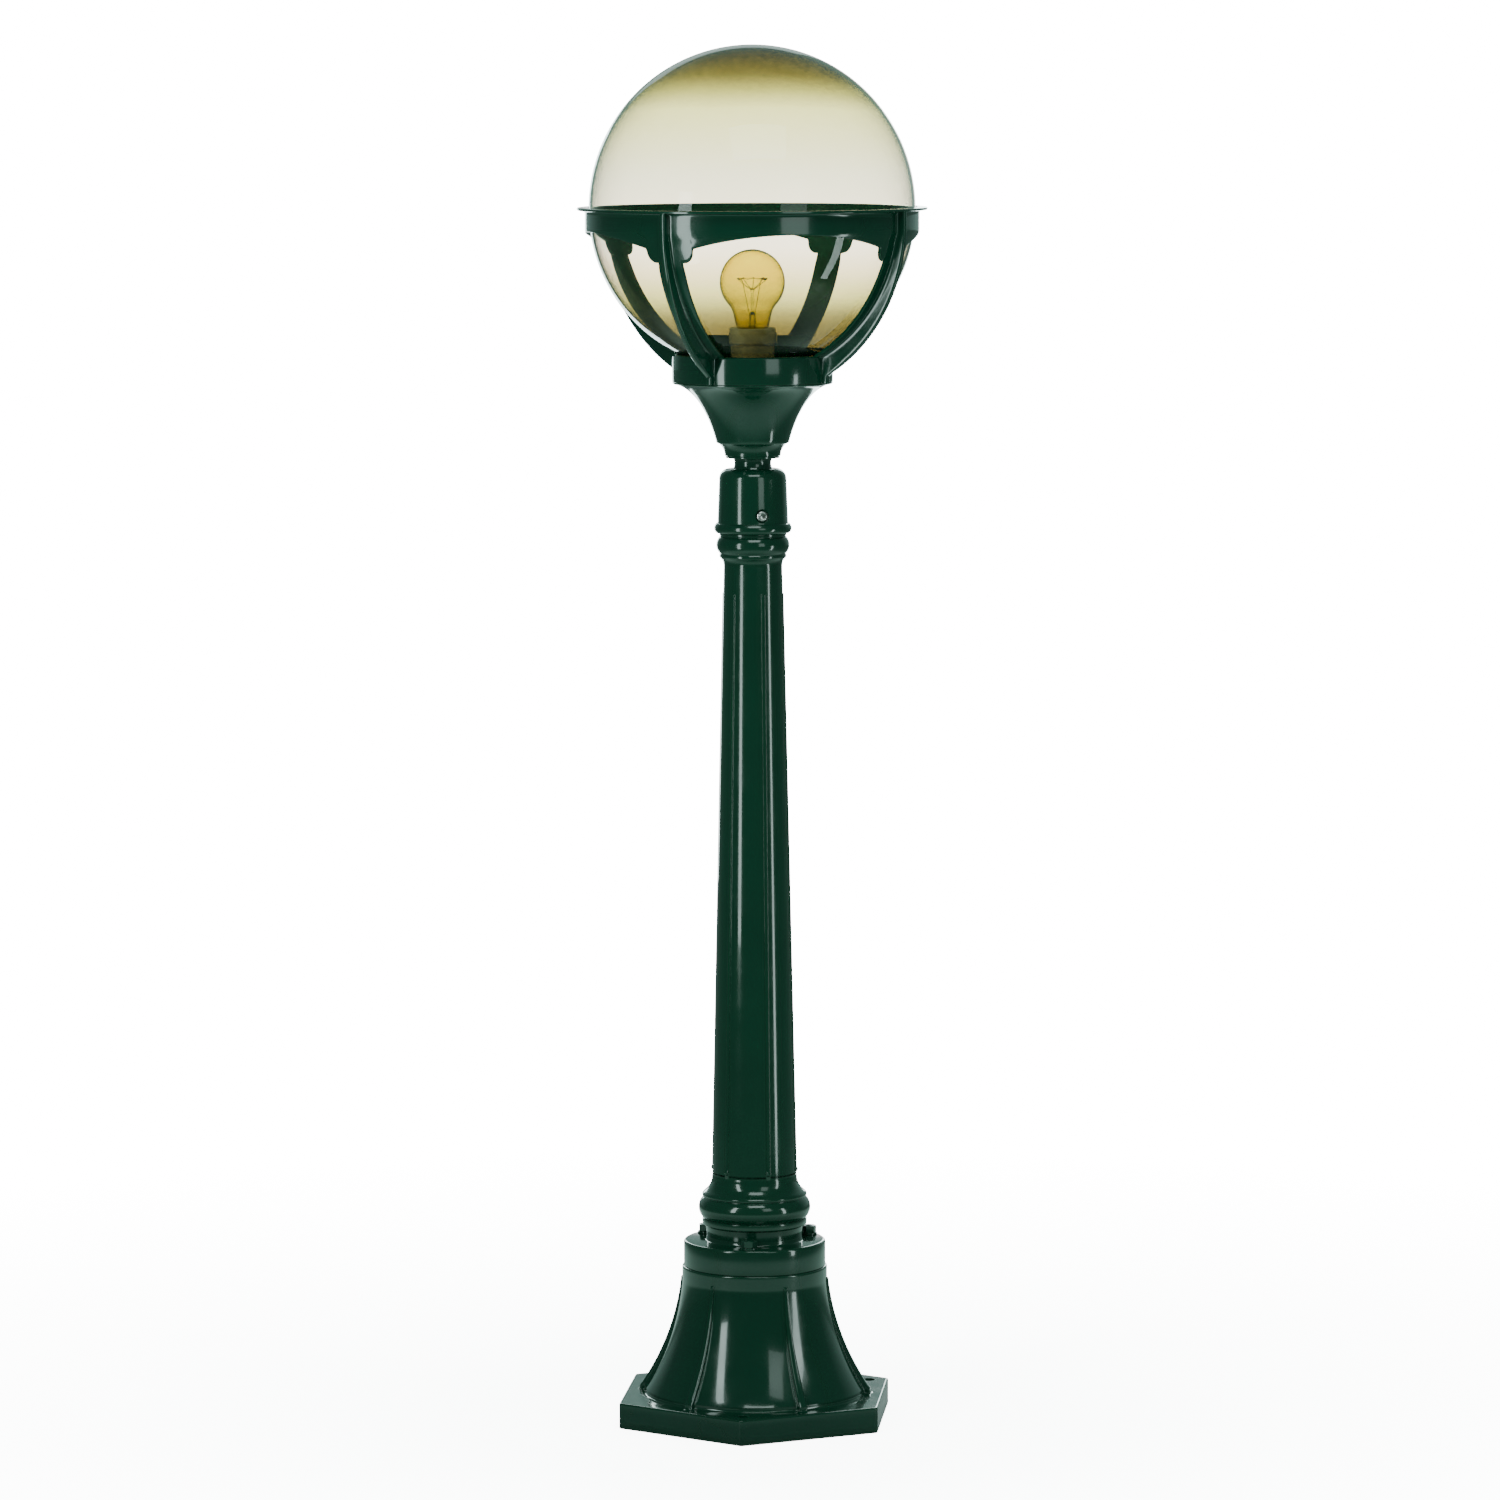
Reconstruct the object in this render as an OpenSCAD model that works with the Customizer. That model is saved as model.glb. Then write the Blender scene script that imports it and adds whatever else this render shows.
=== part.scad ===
// Pedestal lantern: a clear globe in a four-arm cast basket, on a tapered ribbed
// column that is bolted to a hexagonal base.
// Millimetres, +Z up. The origin is on the ground at the middle of the base plate, and
// one corner of the hexagon points along -Y.

/* [Base] */
// Width of the hexagonal plate across its flats
plate_flats = 240; // [236:1:250]
// Thickness of the plate
plate_h = 24; // [20:1:26]
// Radius of the anchor hole circle
anchor_circle_r = 118; // [114:1:119]
// Diameter of each anchor hole
anchor_d = 11; // [9:1:12]
// Radius of the bell where it meets the plate
bell_foot_r = 102; // [98:1:104]
// Radius of the bell's neck
bell_neck_r = 67.5; // [67.5:0.5:69]
// Height of the bell's top face above the ground
bell_top = 144; // [142:1:146]
// Wall thickness of the bell
bell_wall = 4; // [3:0.5:4]
// How far a bell rib stands out at its foot
bell_rib_h = 6; // [4:0.5:7]

/* [Column] */
// Radius of the bolted flange
flange_r = 66; // [66:1:68]
// Thickness of the bolted flange
flange_h = 24; // [22:1:26]
// Radius of the flange bolt circle
flange_bolt_circle_r = 55.5; // [55:0.5:56]
// Height of the shoulder that the shaft stands on
shaft_bottom = 229; // [228:1:231]
// Height of the shaft's top end
shaft_top = 797; // [790:1:800]
// Radius of the shaft at its foot
shaft_foot_r = 39.2; // [38:0.2:40]
// Radius of the shaft at its top
shaft_top_r = 27; // [26.6:0.2:28]
// Width of a shaft rib
shaft_rib_w = 3.5; // [2.5:0.5:5]
// How far a shaft rib stands out
shaft_rib_h = 1; // [0.6:0.2:1.6]
// Outside diameter of the spigot tube that carries the head
spigot_d = 48.3; // [48.3:0.1:48.5]

/* [Head] */
// Height of the joint between the column and the head
head_z = 827.5; // [826:0.5:829]
// Running clearance of the sleeve on the spigot, on the radius
spigot_clearance = 0.05; // [0.02:0.01:0.08]
// Height of the top face of the sleeve
sleeve_top = 886.5; // [886:0.5:888]
// Height of the underside of the cup
cup_bottom = 896.5; // [896:0.5:898]
// Height of the joint between the cup and the basket
basket_z = 966.5; // [966:0.5:967]
// Outside radius of the basket's collar
collar_r = 74; // [74:0.5:75]
// Width of a basket arm
arm_w = 26; // [22:1:30]
// Thickness of the fin on each arm
fin_w = 5; // [4:0.5:6]
// Outside radius of the basket's rim flange
rim_r = 161; // [160:1:164]

/* [Globe and lamp] */
// Outside radius of the globe
globe_r = 150; // [150]
// Height of the centre of the globe
globe_z = 1125; // [1125]
// Wall thickness of the globe
globe_wall = 3; // [2:0.5:3]
// Radius of the lamp bulb
bulb_r = 30; // [29:0.5:30]
// Overall length of the lamp bulb
bulb_length = 105; // [104:1:106]

/* [Hidden] */
$fn = 96;
eps = 0.01;

// Directions, in degrees from the hexagon's -Y corner, positive towards +X.
anchor_angles = [0, 120, 240];
bell_rib_angles = [30 : 60 : 330];
shaft_rib_angles = [24.5 : 60 : 324.5];
set_screw_angles = [21, 141, 261];
arm_angles = [-25, 65, 155, 245];
gap_angles = [20, 110, 200, 290];

// Base.
plate_corner_r = 4;
plate_circle_r = plate_flats / 2 / cos(30);
skirt_h = 4;
bell_flare_top = 130;
bell_flare_sag = 6.5;
bell_rib_top = 133;
bell_rib_sag = 7.2;
bell_rib_foot_w = 8.5;
bell_rib_tip_w = 3.5;
bell_roof_h = 8;
bell_roof_z = bell_top - bell_roof_h;
cable_hole_r = 20;
bolt_r = 4;

// Column foot.
flange_top = bell_top + flange_h;
foot_neck_r = 44.7;
foot_ring_r = 48.6;
foot_ring_h = 5.5;
foot_bulge_r = 52;
foot_ring_z = flange_top + 15;
foot_bulge_low = foot_ring_z + foot_ring_h + 0.5;
foot_bulge_high = foot_bulge_low + 19.4;
foot_bore_r = 30;
socket_r = 35;
socket_z = shaft_bottom - 26;
tenon_wall = 4;

// Flange fasteners, M8.
m8_head_h = 5.3;
m8_nut_h = 6.8;
m8_flats = 13;
m8_washer_r = 8;
m8_washer_h = 1.6;
bolt_end = flange_top + m8_washer_h + m8_nut_h + 0.5;

// Capital and spigot.
capital_tenon_r = 22.9;
capital_tenon_h = 20;
capital_bore_r = 19;
capital_bulge_r = 33.9;
capital_ring_r = 30.8;
spigot_r = spigot_d / 2;
spigot_wall = 3.15;
spigot_seat = shaft_top + 3;
spigot_top = head_z + 44.5;

// Sleeve and stem.
sleeve_bore_r = spigot_r + spigot_clearance;
sleeve_roof_z = sleeve_top - 12.5;
sleeve_bead_r = 35.7;
sleeve_low_r = 32.6;
sleeve_high_r = 31.1;
set_screw_r = 5;
set_screw_z = head_z + 17;
set_screw_gap = 0.35;
set_screw_length = 8;
stem_r = 8;
stem_bore_r = 5.5;
stem_bottom = sleeve_roof_z - 10;
stem_nut_flats = 24;
stem_nut_h = 6;
neck_r = 17;

// Cup.
cup_floor = cup_bottom + 11.5;
cup_lip_r = 24.9;
cup_step_z = cup_bottom + 14.5;
cup_wall = 3.5;
gallery_r = 50.5;

// Collar, gasket and globe neck.
collar_top = basket_z + 25.5;
collar_wall = 3.5;
gallery_h = 4;
gallery_top = basket_z + gallery_h;
gasket_h = 3.5;
globe_neck_r = 68;
neck_bottom = gallery_top + gasket_h;
basket_screw_circle_r = 55.5;
basket_screw_r = 2.5;
basket_screw_head_r = 4.2;
basket_screw_head_h = 3;

// Basket.
basket_gap = 1;
skin_r = globe_r + basket_gap;
skin_t = 3;
band_wall = 2.6;
rim_t = 2.5;
rim_bottom = globe_z - 1;
band_bottom = globe_z - 21;
arch_top = globe_z - 20;
notch_z = globe_z - 32.5;
arm_top = globe_z - 45.5;
notch_angle = 10;
fin_centre_drop = 11;
fin_outer_r = 161.2;
fin_foot_r = 80;

// Lamp.
lampholder_z = gallery_top + 1.5;
lampholder_r = 20.2;
lampholder_body_h = 29;
skirt_r = 21.7;
skirt_hgt = 15;
shell_cavity_r = 14;
contact_z = globe_z - 142;
cap_r = 13.1;
cap_top = contact_z + 27;
bulb_top = contact_z + bulb_length;
bulb_centre = bulb_top - bulb_r;
filament_z = bulb_centre + 3;
filament_r = 13;

stem_flare_z = cap_top - 5;
pinch_z = cap_top + 18;
button_z = filament_z - 10;
support_angles = [0, 45, 90, 135, 180];
lead_angles = [-45, 225];
tray_screw_x = 15.5;
tray_screw_r = 1.75;

// Wiring in the base.
bracket_y = 38;
bracket_t = 2;
bracket_w = 46;
bracket_d = 28;
bracket_screw_x = 18;
bracket_screw_r = 2;
bracket_screw_head_h = 2.5;
earth_x = -32;
earth_y = 6;
earth_r = 3;
block_size = [24, 18, 16];
cable_r = 3.5;
cable_bend_r = 20;
cable_entry_z = bell_roof_z - bracket_t - block_size[2] / 2;

green = [0.04, 0.2, 0.15];
steel = [0.7, 0.71, 0.72];
brass = [0.78, 0.62, 0.3];

// Places children at a direction measured from the -Y corner, facing out along +X.
module facing(angle) {
    rotate([0, 0, angle - 90])
        children();
}

// Points of a circular arc from p to q that bulges to the right by sag (left if negative).
function arc(p, q, sag, n = 10) =
    let (
        chord = norm(q - p),
        along = (q - p) / chord,
        side = [along[1], -along[0]],
        radius = (chord * chord / 4 + sag * sag) / (2 * sag),
        centre = (p + q) / 2 + side * (sag - radius),
        half = asin(chord / 2 / abs(radius)),
        turn = sag > 0 ? 1 : -1
    )
    [for (i = [0 : n])
        let (a = -half + 2 * half * i / n)
        centre + turn * abs(radius) * (side * cos(a) + turn * along * sin(a))];

// Points of the cubic Bezier curve from a to d, with b and c as its control points.
function bezier(a, b, c, d, n = 14) =
    [for (i = [0 : n])
        let (t = i / n, s = 1 - t)
        s * s * s * a + 3 * s * s * t * b + 3 * s * t * t * c + t * t * t * d];

// A ring or tube between two radii.
module tube(r_out, r_in, z0, z1) {
    translate([0, 0, z0])
        difference() {
            cylinder(r = r_out, h = z1 - z0);
            translate([0, 0, -1])
                cylinder(r = r_in, h = z1 - z0 + 2);
        }
}

// A hexagonal prism of a given width across flats.
module hex(flats, z0, z1) {
    translate([0, 0, z0])
        cylinder(r = flats / 2 / cos(30), h = z1 - z0, $fn = 6);
}

// ---- Base ----

// Corner points of a hexagon with rounded corners, one corner along -Y.
function rounded_hexagon(flats, r, n = 6) =
    [for (k = [0 : 5], i = [0 : n])
        let (
            corner = -90 + 60 * k,
            centre_r = flats / 2 / cos(30) - r / cos(30),
            a = corner - 30 + 60 * i / n
        )
        centre_r * [cos(corner), sin(corner)] + r * [cos(a), sin(a)]];

module bell_rib(angle) {
    reach = bell_foot_r + bell_rib_h;
    facing(angle)
        intersection() {
            linear_extrude(bell_rib_top + 1)
                polygon([
                    [bell_neck_r - 4, -bell_rib_tip_w / 2],
                    [reach + 1, -bell_rib_foot_w / 2],
                    [reach + 1, bell_rib_foot_w / 2],
                    [bell_neck_r - 4, bell_rib_tip_w / 2]
                ]);
            rotate([90, 0, 0])
                translate([0, 0, -bell_rib_foot_w])
                    linear_extrude(2 * bell_rib_foot_w)
                        polygon(concat(
                            [[bell_neck_r - 3, plate_h - 1], [reach, plate_h - 1]],
                            arc([reach, plate_h + 2], [bell_neck_r - 0.2, bell_rib_top], -bell_rib_sag),
                            [[bell_neck_r - 3, bell_rib_top]]
                        ));
        }
}

module bell_solid() {
    rotate_extrude()
        polygon(concat(
            [[0, plate_h - 1], [bell_foot_r, plate_h - 1]],
            arc([bell_foot_r, plate_h + skirt_h], [bell_neck_r, bell_flare_top], -bell_flare_sag, 14),
            arc([bell_neck_r, bell_top - 1.5], [bell_neck_r - 1.5, bell_top], 0.44, 4),
            [[0, bell_top]]
        ));
}

module bell_cavity() {
    rotate_extrude()
        polygon(concat(
            [[0, -1], [bell_foot_r - bell_wall, -1]],
            arc([bell_foot_r - bell_wall, plate_h], [bell_neck_r - bell_wall, bell_roof_z - 7], -6.2),
            [[bell_neck_r - bell_wall, bell_roof_z], [0, bell_roof_z]]
        ));
}

module base_casting() {
    color(green)
        difference() {
            union() {
                linear_extrude(plate_h)
                    polygon(rounded_hexagon(plate_flats, plate_corner_r));
                bell_solid();
                for (a = bell_rib_angles)
                    bell_rib(a);
            }
            bell_cavity();
            translate([0, 0, bell_roof_z - 1])
                cylinder(r = cable_hole_r, h = bell_roof_h + 2);
            for (a = anchor_angles)
                facing(a) {
                    translate([anchor_circle_r, 0, -1])
                        cylinder(d = anchor_d, h = plate_h + 2);
                    translate([flange_bolt_circle_r, 0, bell_roof_z - 1])
                        cylinder(r = bolt_r, h = bell_roof_h + 2);
                }
            for (x = [-1, 1])
                translate([x * bracket_screw_x, bracket_y, bell_roof_z - 1])
                    cylinder(r = bracket_screw_r, h = 7);
            translate([earth_x, earth_y, bell_roof_z - 1])
                cylinder(r = earth_r, h = 7);
        }
}

// ---- Column ----

module column_foot() {
    color(green)
        difference() {
            rotate_extrude()
                polygon(concat(
                    [[0, bell_top], [flange_r, bell_top]],
                    arc([flange_r, flange_top - 2.5], [flange_r - 2.5, flange_top], 0.73, 6),
                    [
                        [foot_neck_r, flange_top], [foot_neck_r + 0.8, foot_ring_z - 1],
                        [foot_ring_r, foot_ring_z], [foot_ring_r, foot_ring_z + foot_ring_h]
                    ],
                    arc([foot_ring_r - 0.8, foot_bulge_low], [foot_ring_r - 0.8, foot_bulge_high],
                        foot_bulge_r - foot_ring_r + 0.8, 14),
                    [[foot_ring_r, foot_bulge_high + 1.2]],
                    arc([foot_ring_r, foot_bulge_high + 4.4], [shaft_foot_r, shaft_bottom], -2.6, 8),
                    [[0, shaft_bottom]]
                ));
            translate([0, 0, bell_top - 1])
                cylinder(r = foot_bore_r, h = shaft_bottom - bell_top + 2);
            translate([0, 0, socket_z])
                cylinder(r = socket_r, h = shaft_bottom - socket_z + 1);
            for (a = anchor_angles)
                facing(a)
                    translate([flange_bolt_circle_r, 0, bell_top - 1])
                        cylinder(r = bolt_r, h = flange_h + 2);
        }
}

module flange_bolts() {
    color(steel)
        for (a = anchor_angles)
            facing(a)
                translate([flange_bolt_circle_r, 0, 0]) {
                    hex(m8_flats, bell_roof_z - m8_head_h, bell_roof_z);
                    translate([0, 0, bell_roof_z - eps])
                        cylinder(r = bolt_r, h = bolt_end - bell_roof_z);
                }
}

module flange_washers() {
    color(green)
        for (a = anchor_angles)
            facing(a)
                translate([flange_bolt_circle_r, 0, 0])
                    tube(m8_washer_r, bolt_r, flange_top, flange_top + m8_washer_h);
}

module flange_nuts() {
    color(green)
        for (a = anchor_angles)
            facing(a)
                translate([flange_bolt_circle_r, 0, 0])
                    difference() {
                        hex(m8_flats, flange_top + m8_washer_h, flange_top + m8_washer_h + m8_nut_h);
                        translate([0, 0, flange_top])
                            cylinder(r = bolt_r, h = m8_washer_h + m8_nut_h + 1);
                    }
}

// Radius of the shaft's outside at a height.
function shaft_r(z) =
    shaft_foot_r + (shaft_top_r - shaft_foot_r) * (z - shaft_bottom) / (shaft_top - shaft_bottom);

module shaft_ribs() {
    rib_bottom = shaft_bottom + 3.5;
    rib_top = shaft_top - 25;
    intersection() {
        translate([0, 0, shaft_bottom])
            cylinder(
                r1 = shaft_foot_r + shaft_rib_h,
                r2 = shaft_top_r + shaft_rib_h,
                h = shaft_top - shaft_bottom
            );
        for (a = shaft_rib_angles)
            facing(a) {
                translate([shaft_top_r - 3, -shaft_rib_w / 2, rib_bottom])
                    cube([20, shaft_rib_w, rib_top - rib_bottom]);
                translate([shaft_top_r - 3, 0, rib_bottom])
                    rotate([0, 90, 0])
                        cylinder(d = shaft_rib_w, h = 20);
            }
    }
}

module column_shaft() {
    bore_foot_r = socket_r - tenon_wall;
    bore_top_r = shaft_top_r - tenon_wall;
    color(green)
        difference() {
            union() {
                translate([0, 0, shaft_bottom])
                    cylinder(r1 = shaft_foot_r, r2 = shaft_top_r, h = shaft_top - shaft_bottom);
                translate([0, 0, socket_z])
                    cylinder(r = socket_r, h = shaft_bottom - socket_z + 1);
                shaft_ribs();
            }
            translate([0, 0, socket_z - 1])
                cylinder(r1 = bore_foot_r, r2 = bore_top_r, h = shaft_top - socket_z + 2);
        }
}

module column_capital() {
    ring_z = shaft_top + 8.6;
    color(green)
        difference() {
            union() {
                rotate_extrude()
                    polygon(concat(
                        [[0, shaft_top]],
                        arc([shaft_top_r, shaft_top], [capital_ring_r - 0.6, ring_z - 0.8], -1.2, 6),
                        arc([capital_ring_r, ring_z],
                            [capital_ring_r, head_z - 2],
                            capital_bulge_r - capital_ring_r, 12),
                        [[capital_ring_r - 0.8, head_z - 1.2], [capital_ring_r - 0.8, head_z], [0, head_z]]
                    ));
                translate([0, 0, shaft_top - capital_tenon_h])
                    cylinder(r = capital_tenon_r, h = capital_tenon_h + 1);
            }
            translate([0, 0, shaft_top - capital_tenon_h - 1])
                cylinder(r = capital_bore_r, h = 60);
            translate([0, 0, spigot_seat])
                cylinder(r = spigot_r, h = 60);
        }
}

module post_spigot() {
    color(steel)
        tube(spigot_r, spigot_r - spigot_wall, spigot_seat, spigot_top);
}

// ---- Wiring in the base ----

module terminal_bracket() {
    color(steel)
        difference() {
            translate([-bracket_w / 2, bracket_y - bracket_d / 2, bell_roof_z - bracket_t])
                cube([bracket_w, bracket_d, bracket_t]);
            for (x = [-1, 1])
                translate([x * bracket_screw_x, bracket_y, bell_roof_z - bracket_t - 1])
                    cylinder(r = bracket_screw_r, h = bracket_t + 2);
        }
}

module terminal_screws() {
    head_h = bracket_screw_head_h;
    under = bell_roof_z - bracket_t;
    color(steel)
        for (x = [-1, 1])
            translate([x * bracket_screw_x, bracket_y, under - head_h]) {
                difference() {
                    cylinder(r = 3.8, h = head_h);
                    translate([-0.4, -4, -0.5])
                        cube([0.8, 8, 1.5]);
                }
                cylinder(r = bracket_screw_r, h = head_h + 8);
            }
}

module terminal_block() {
    top = bell_roof_z - bracket_t;
    color("ivory")
        difference() {
            translate([-block_size[0] / 2, bracket_y - block_size[1] / 2, top - block_size[2]])
                cube(block_size);
            for (x = [-7, 0, 7])
                translate([x, bracket_y - 4, top - block_size[2] - 1])
                    cylinder(r = 2.2, h = 7);
            translate([0, bracket_y - block_size[1] / 2 - 1, cable_entry_z])
                rotate([-90, 0, 0])
                    cylinder(r = cable_r, h = 4);
        }
}

module earth_screw() {
    color(brass)
        translate([earth_x, earth_y, 0]) {
            hex(10, bell_roof_z - 5.5, bell_roof_z - 1.5);
            tube(6, earth_r, bell_roof_z - 1.5, bell_roof_z);
            translate([0, 0, bell_roof_z - 2])
                cylinder(r = earth_r, h = 8);
        }
}

module inner_cable() {
    bend_z = cable_entry_z + cable_bend_r;
    run = bracket_y - block_size[1] / 2 + 2 - cable_bend_r;
    color([0.1, 0.1, 0.1]) {
        translate([0, 0, bend_z])
            cylinder(r = cable_r, h = lampholder_z + 3 - bend_z);
        translate([0, cable_bend_r, bend_z])
            rotate([-90, 0, 0])
                rotate([0, 90, 0])
                    rotate_extrude(angle = 90)
                        translate([cable_bend_r, 0])
                            circle(r = cable_r);
        translate([0, cable_bend_r, cable_entry_z])
            rotate([-90, 0, 0])
                cylinder(r = cable_r, h = run);
    }
}

// ---- Head: sleeve, neck and cup ----

module head_sleeve() {
    color(green)
        difference() {
            rotate_extrude()
                polygon(concat(
                    [[0, head_z], [sleeve_bead_r - 2, head_z]],
                    arc([sleeve_bead_r - 1, head_z + 0.8], [sleeve_bead_r - 1, head_z + 8], 1, 8),
                    [[sleeve_low_r, head_z + 9.2], [sleeve_high_r, sleeve_top - 9.3]],
                    arc([sleeve_high_r, sleeve_top - 8.5], [neck_r + 2, sleeve_top], 3.2, 10),
                    [[0, sleeve_top]]
                ));
            translate([0, 0, head_z - 1])
                cylinder(r = sleeve_bore_r, h = sleeve_roof_z - head_z + 1);
            cylinder(r = stem_r, h = sleeve_top + 1);
            for (a = set_screw_angles)
                facing(a)
                    translate([0, 0, set_screw_z])
                        rotate([0, 90, 0])
                            cylinder(r = set_screw_r, h = 60);
        }
}

module set_screws() {
    start = spigot_r + set_screw_gap;
    color(steel)
        for (a = set_screw_angles)
            facing(a)
                translate([start, 0, set_screw_z])
                    rotate([0, 90, 0])
                        difference() {
                            cylinder(r = set_screw_r, h = set_screw_length);
                            hex(5, set_screw_length - 4, set_screw_length + 1);
                        }
}

module neck_spacer() {
    color(green)
        difference() {
            rotate_extrude()
                polygon(concat(
                    [[0, sleeve_top]],
                    arc([neck_r + 1, sleeve_top], [neck_r + 1, cup_bottom], -1.2, 8),
                    [[0, cup_bottom]]
                ));
            cylinder(r = stem_r, h = cup_bottom + 1);
        }
}

module cup() {
    flare = [
        [33.7, cup_step_z], [39.7, cup_step_z + 25],
        [54, basket_z - 4.5], [collar_r - 0.3, basket_z - 1.5]
    ];
    inset = [
        [33.7 - cup_wall, cup_floor + 2.5], [39.7 - cup_wall, cup_step_z + 24],
        [gallery_r - 4, basket_z - 12], [gallery_r, basket_z - 7]
    ];
    color(green)
        difference() {
            rotate_extrude()
                polygon(concat(
                    [[0, cup_bottom], [cup_lip_r, cup_bottom], [cup_lip_r, cup_bottom + 1.5]],
                    arc([cup_lip_r + 0.8, cup_bottom + 2.2], [31.4, cup_step_z - 1], -1.4, 8),
                    [[32.6, cup_step_z - 0.8]],
                    bezier(flare[0], flare[1], flare[2], flare[3]),
                    [[collar_r - 0.3, basket_z], [0, basket_z]]
                ));
            rotate_extrude()
                polygon(concat(
                    [[0, cup_floor], [inset[0][0] - 2, cup_floor]],
                    bezier(inset[0], inset[1], inset[2], inset[3]),
                    [[gallery_r, basket_z + 1], [0, basket_z + 1]]
                ));
            cylinder(r = stem_r, h = basket_z);
            for (a = anchor_angles)
                facing(a)
                    translate([basket_screw_circle_r, 0, basket_z - 6.5])
                        cylinder(r = basket_screw_r, h = 10);
        }
}

module stem_nipple() {
    color(steel)
        tube(stem_r, stem_bore_r, stem_bottom, lampholder_z + 2);
}

module stem_nuts() {
    bottoms = [sleeve_roof_z - stem_nut_h, cup_floor, gallery_top - stem_nut_h];
    color(steel)
        for (z = bottoms)
            difference() {
                rotate([0, 0, 30])
                    hex(stem_nut_flats, z, z + stem_nut_h);
                translate([0, 0, z - 1])
                    cylinder(r = stem_r, h = stem_nut_h + 2);
            }
}

// ---- Basket ----

module basket_collar() {
    color(green)
        difference() {
            rotate_extrude()
                polygon(concat(
                    [[gallery_r, basket_z], [collar_r, basket_z]],
                    arc([collar_r, collar_top - 2], [collar_r - 2, collar_top], 0.59, 5),
                    [
                        [collar_r - collar_wall, collar_top],
                        [collar_r - collar_wall, gallery_top],
                        [gallery_r, gallery_top]
                    ]
                ));
            for (a = anchor_angles)
                facing(a)
                    translate([basket_screw_circle_r, 0, basket_z - 1])
                        cylinder(r = basket_screw_r, h = gallery_h + 2);
        }
}

// The fin of one arm, in the plane that faces out, between two heights.
module fin(z0, z1) {
    centre = [0, globe_z - fin_centre_drop];
    rotate([90, 0, 0])
        translate([0, 0, -fin_w / 2])
            linear_extrude(fin_w)
                intersection() {
                    difference() {
                        translate(centre)
                            circle(r = fin_outer_r, $fn = 180);
                        translate([0, globe_z])
                            circle(r = skin_r + 1.2, $fn = 180);
                    }
                    translate([0, z0])
                        square([fin_outer_r + 1, z1 - z0]);
                }
}

// The foot of the fin, which laps down over the collar's outside.
module fin_foot() {
    lap_top = collar_top + 1;
    rotate([90, 0, 0])
        translate([0, 0, -fin_w / 2])
            linear_extrude(fin_w)
                intersection() {
                    union() {
                        translate([0, globe_z - fin_centre_drop])
                            circle(r = fin_outer_r, $fn = 180);
                        square([fin_foot_r, globe_z]);
                    }
                    translate([collar_r - 2, basket_z])
                        square([fin_outer_r, lap_top - basket_z]);
                }
}

module basket_arm(angle) {
    color(green)
        difference() {
            facing(angle)
                union() {
                    intersection() {
                        translate([0, 0, globe_z])
                            difference() {
                                sphere(r = skin_r + skin_t);
                                sphere(r = skin_r);
                            }
                        translate([0, -arm_w / 2, collar_top])
                            cube([globe_r + 20, arm_w, arm_top - collar_top]);
                    }
                    fin(collar_top, arm_top);
                    fin_foot();
                }
            translate([0, 0, basket_z - 1])
                cylinder(r = collar_r, h = collar_top - basket_z + 1);
        }
}

module basket_arm_1() {
    basket_arm(arm_angles[0]);
}

module basket_arm_2() {
    basket_arm(arm_angles[1]);
}

module basket_arm_3() {
    basket_arm(arm_angles[2]);
}

module basket_arm_4() {
    basket_arm(arm_angles[3]);
}

// The opening under the rim between two arms: a low arch that ends in rounded cusps.
module arch_opening() {
    notch_s = skin_r * sin(45 - notch_angle);
    arm_s = skin_r * sin(45) - arm_w / 2 * cos(45) + 0.5;
    cusp_top = notch_z - 3;
    rotate([90, 0, 90])
        linear_extrude(globe_r + 20)
            polygon(concat(
                [[-arm_s, arm_top - 5]],
                [[-arm_s, arm_top + 0.5]],
                arc([-arm_s + 1, arm_top + 0.5], [-notch_s, cusp_top], 2.6, 6),
                arc([-notch_s, notch_z], [notch_s, notch_z], -(arch_top - notch_z), 24),
                arc([notch_s, cusp_top], [arm_s - 1, arm_top + 0.5], 2.6, 6),
                [[arm_s, arm_top + 0.5]],
                [[arm_s, arm_top - 5]]
            ));
}

module basket_rim() {
    color(green) {
        difference() {
            union() {
                tube(skin_r + band_wall, skin_r, band_bottom, rim_bottom + eps);
                intersection() {
                    translate([0, 0, globe_z])
                        difference() {
                            sphere(r = skin_r + skin_t);
                            sphere(r = skin_r);
                        }
                    translate([0, 0, arm_top])
                        cylinder(r = rim_r, h = band_bottom - arm_top);
                }
            }
            for (a = gap_angles)
                facing(a)
                    arch_opening();
        }
        tube(rim_r, skin_r, rim_bottom, rim_bottom + rim_t);
        for (a = arm_angles)
            facing(a)
                difference() {
                    fin(arm_top, rim_bottom);
                    translate([0, 0, band_bottom])
                        cylinder(r = skin_r + 0.5, h = 30);
                }
    }
}

module basket_screws() {
    color(steel)
        for (a = anchor_angles)
            facing(a)
                translate([basket_screw_circle_r, 0, 0])
                    difference() {
                        union() {
                            translate([0, 0, basket_z - 6.5])
                                cylinder(r = basket_screw_r, h = gallery_h + 7);
                            translate([0, 0, gallery_top])
                                cylinder(r = basket_screw_head_r, h = basket_screw_head_h);
                        }
                        hex(4, gallery_top + 1, gallery_top + basket_screw_head_h + 1);
                    }
}

module globe_gasket() {
    color([0.08, 0.08, 0.08])
        tube(collar_r - collar_wall - 1, 61, gallery_top, neck_bottom - 0.05);
}

// ---- Lampholder ----

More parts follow.
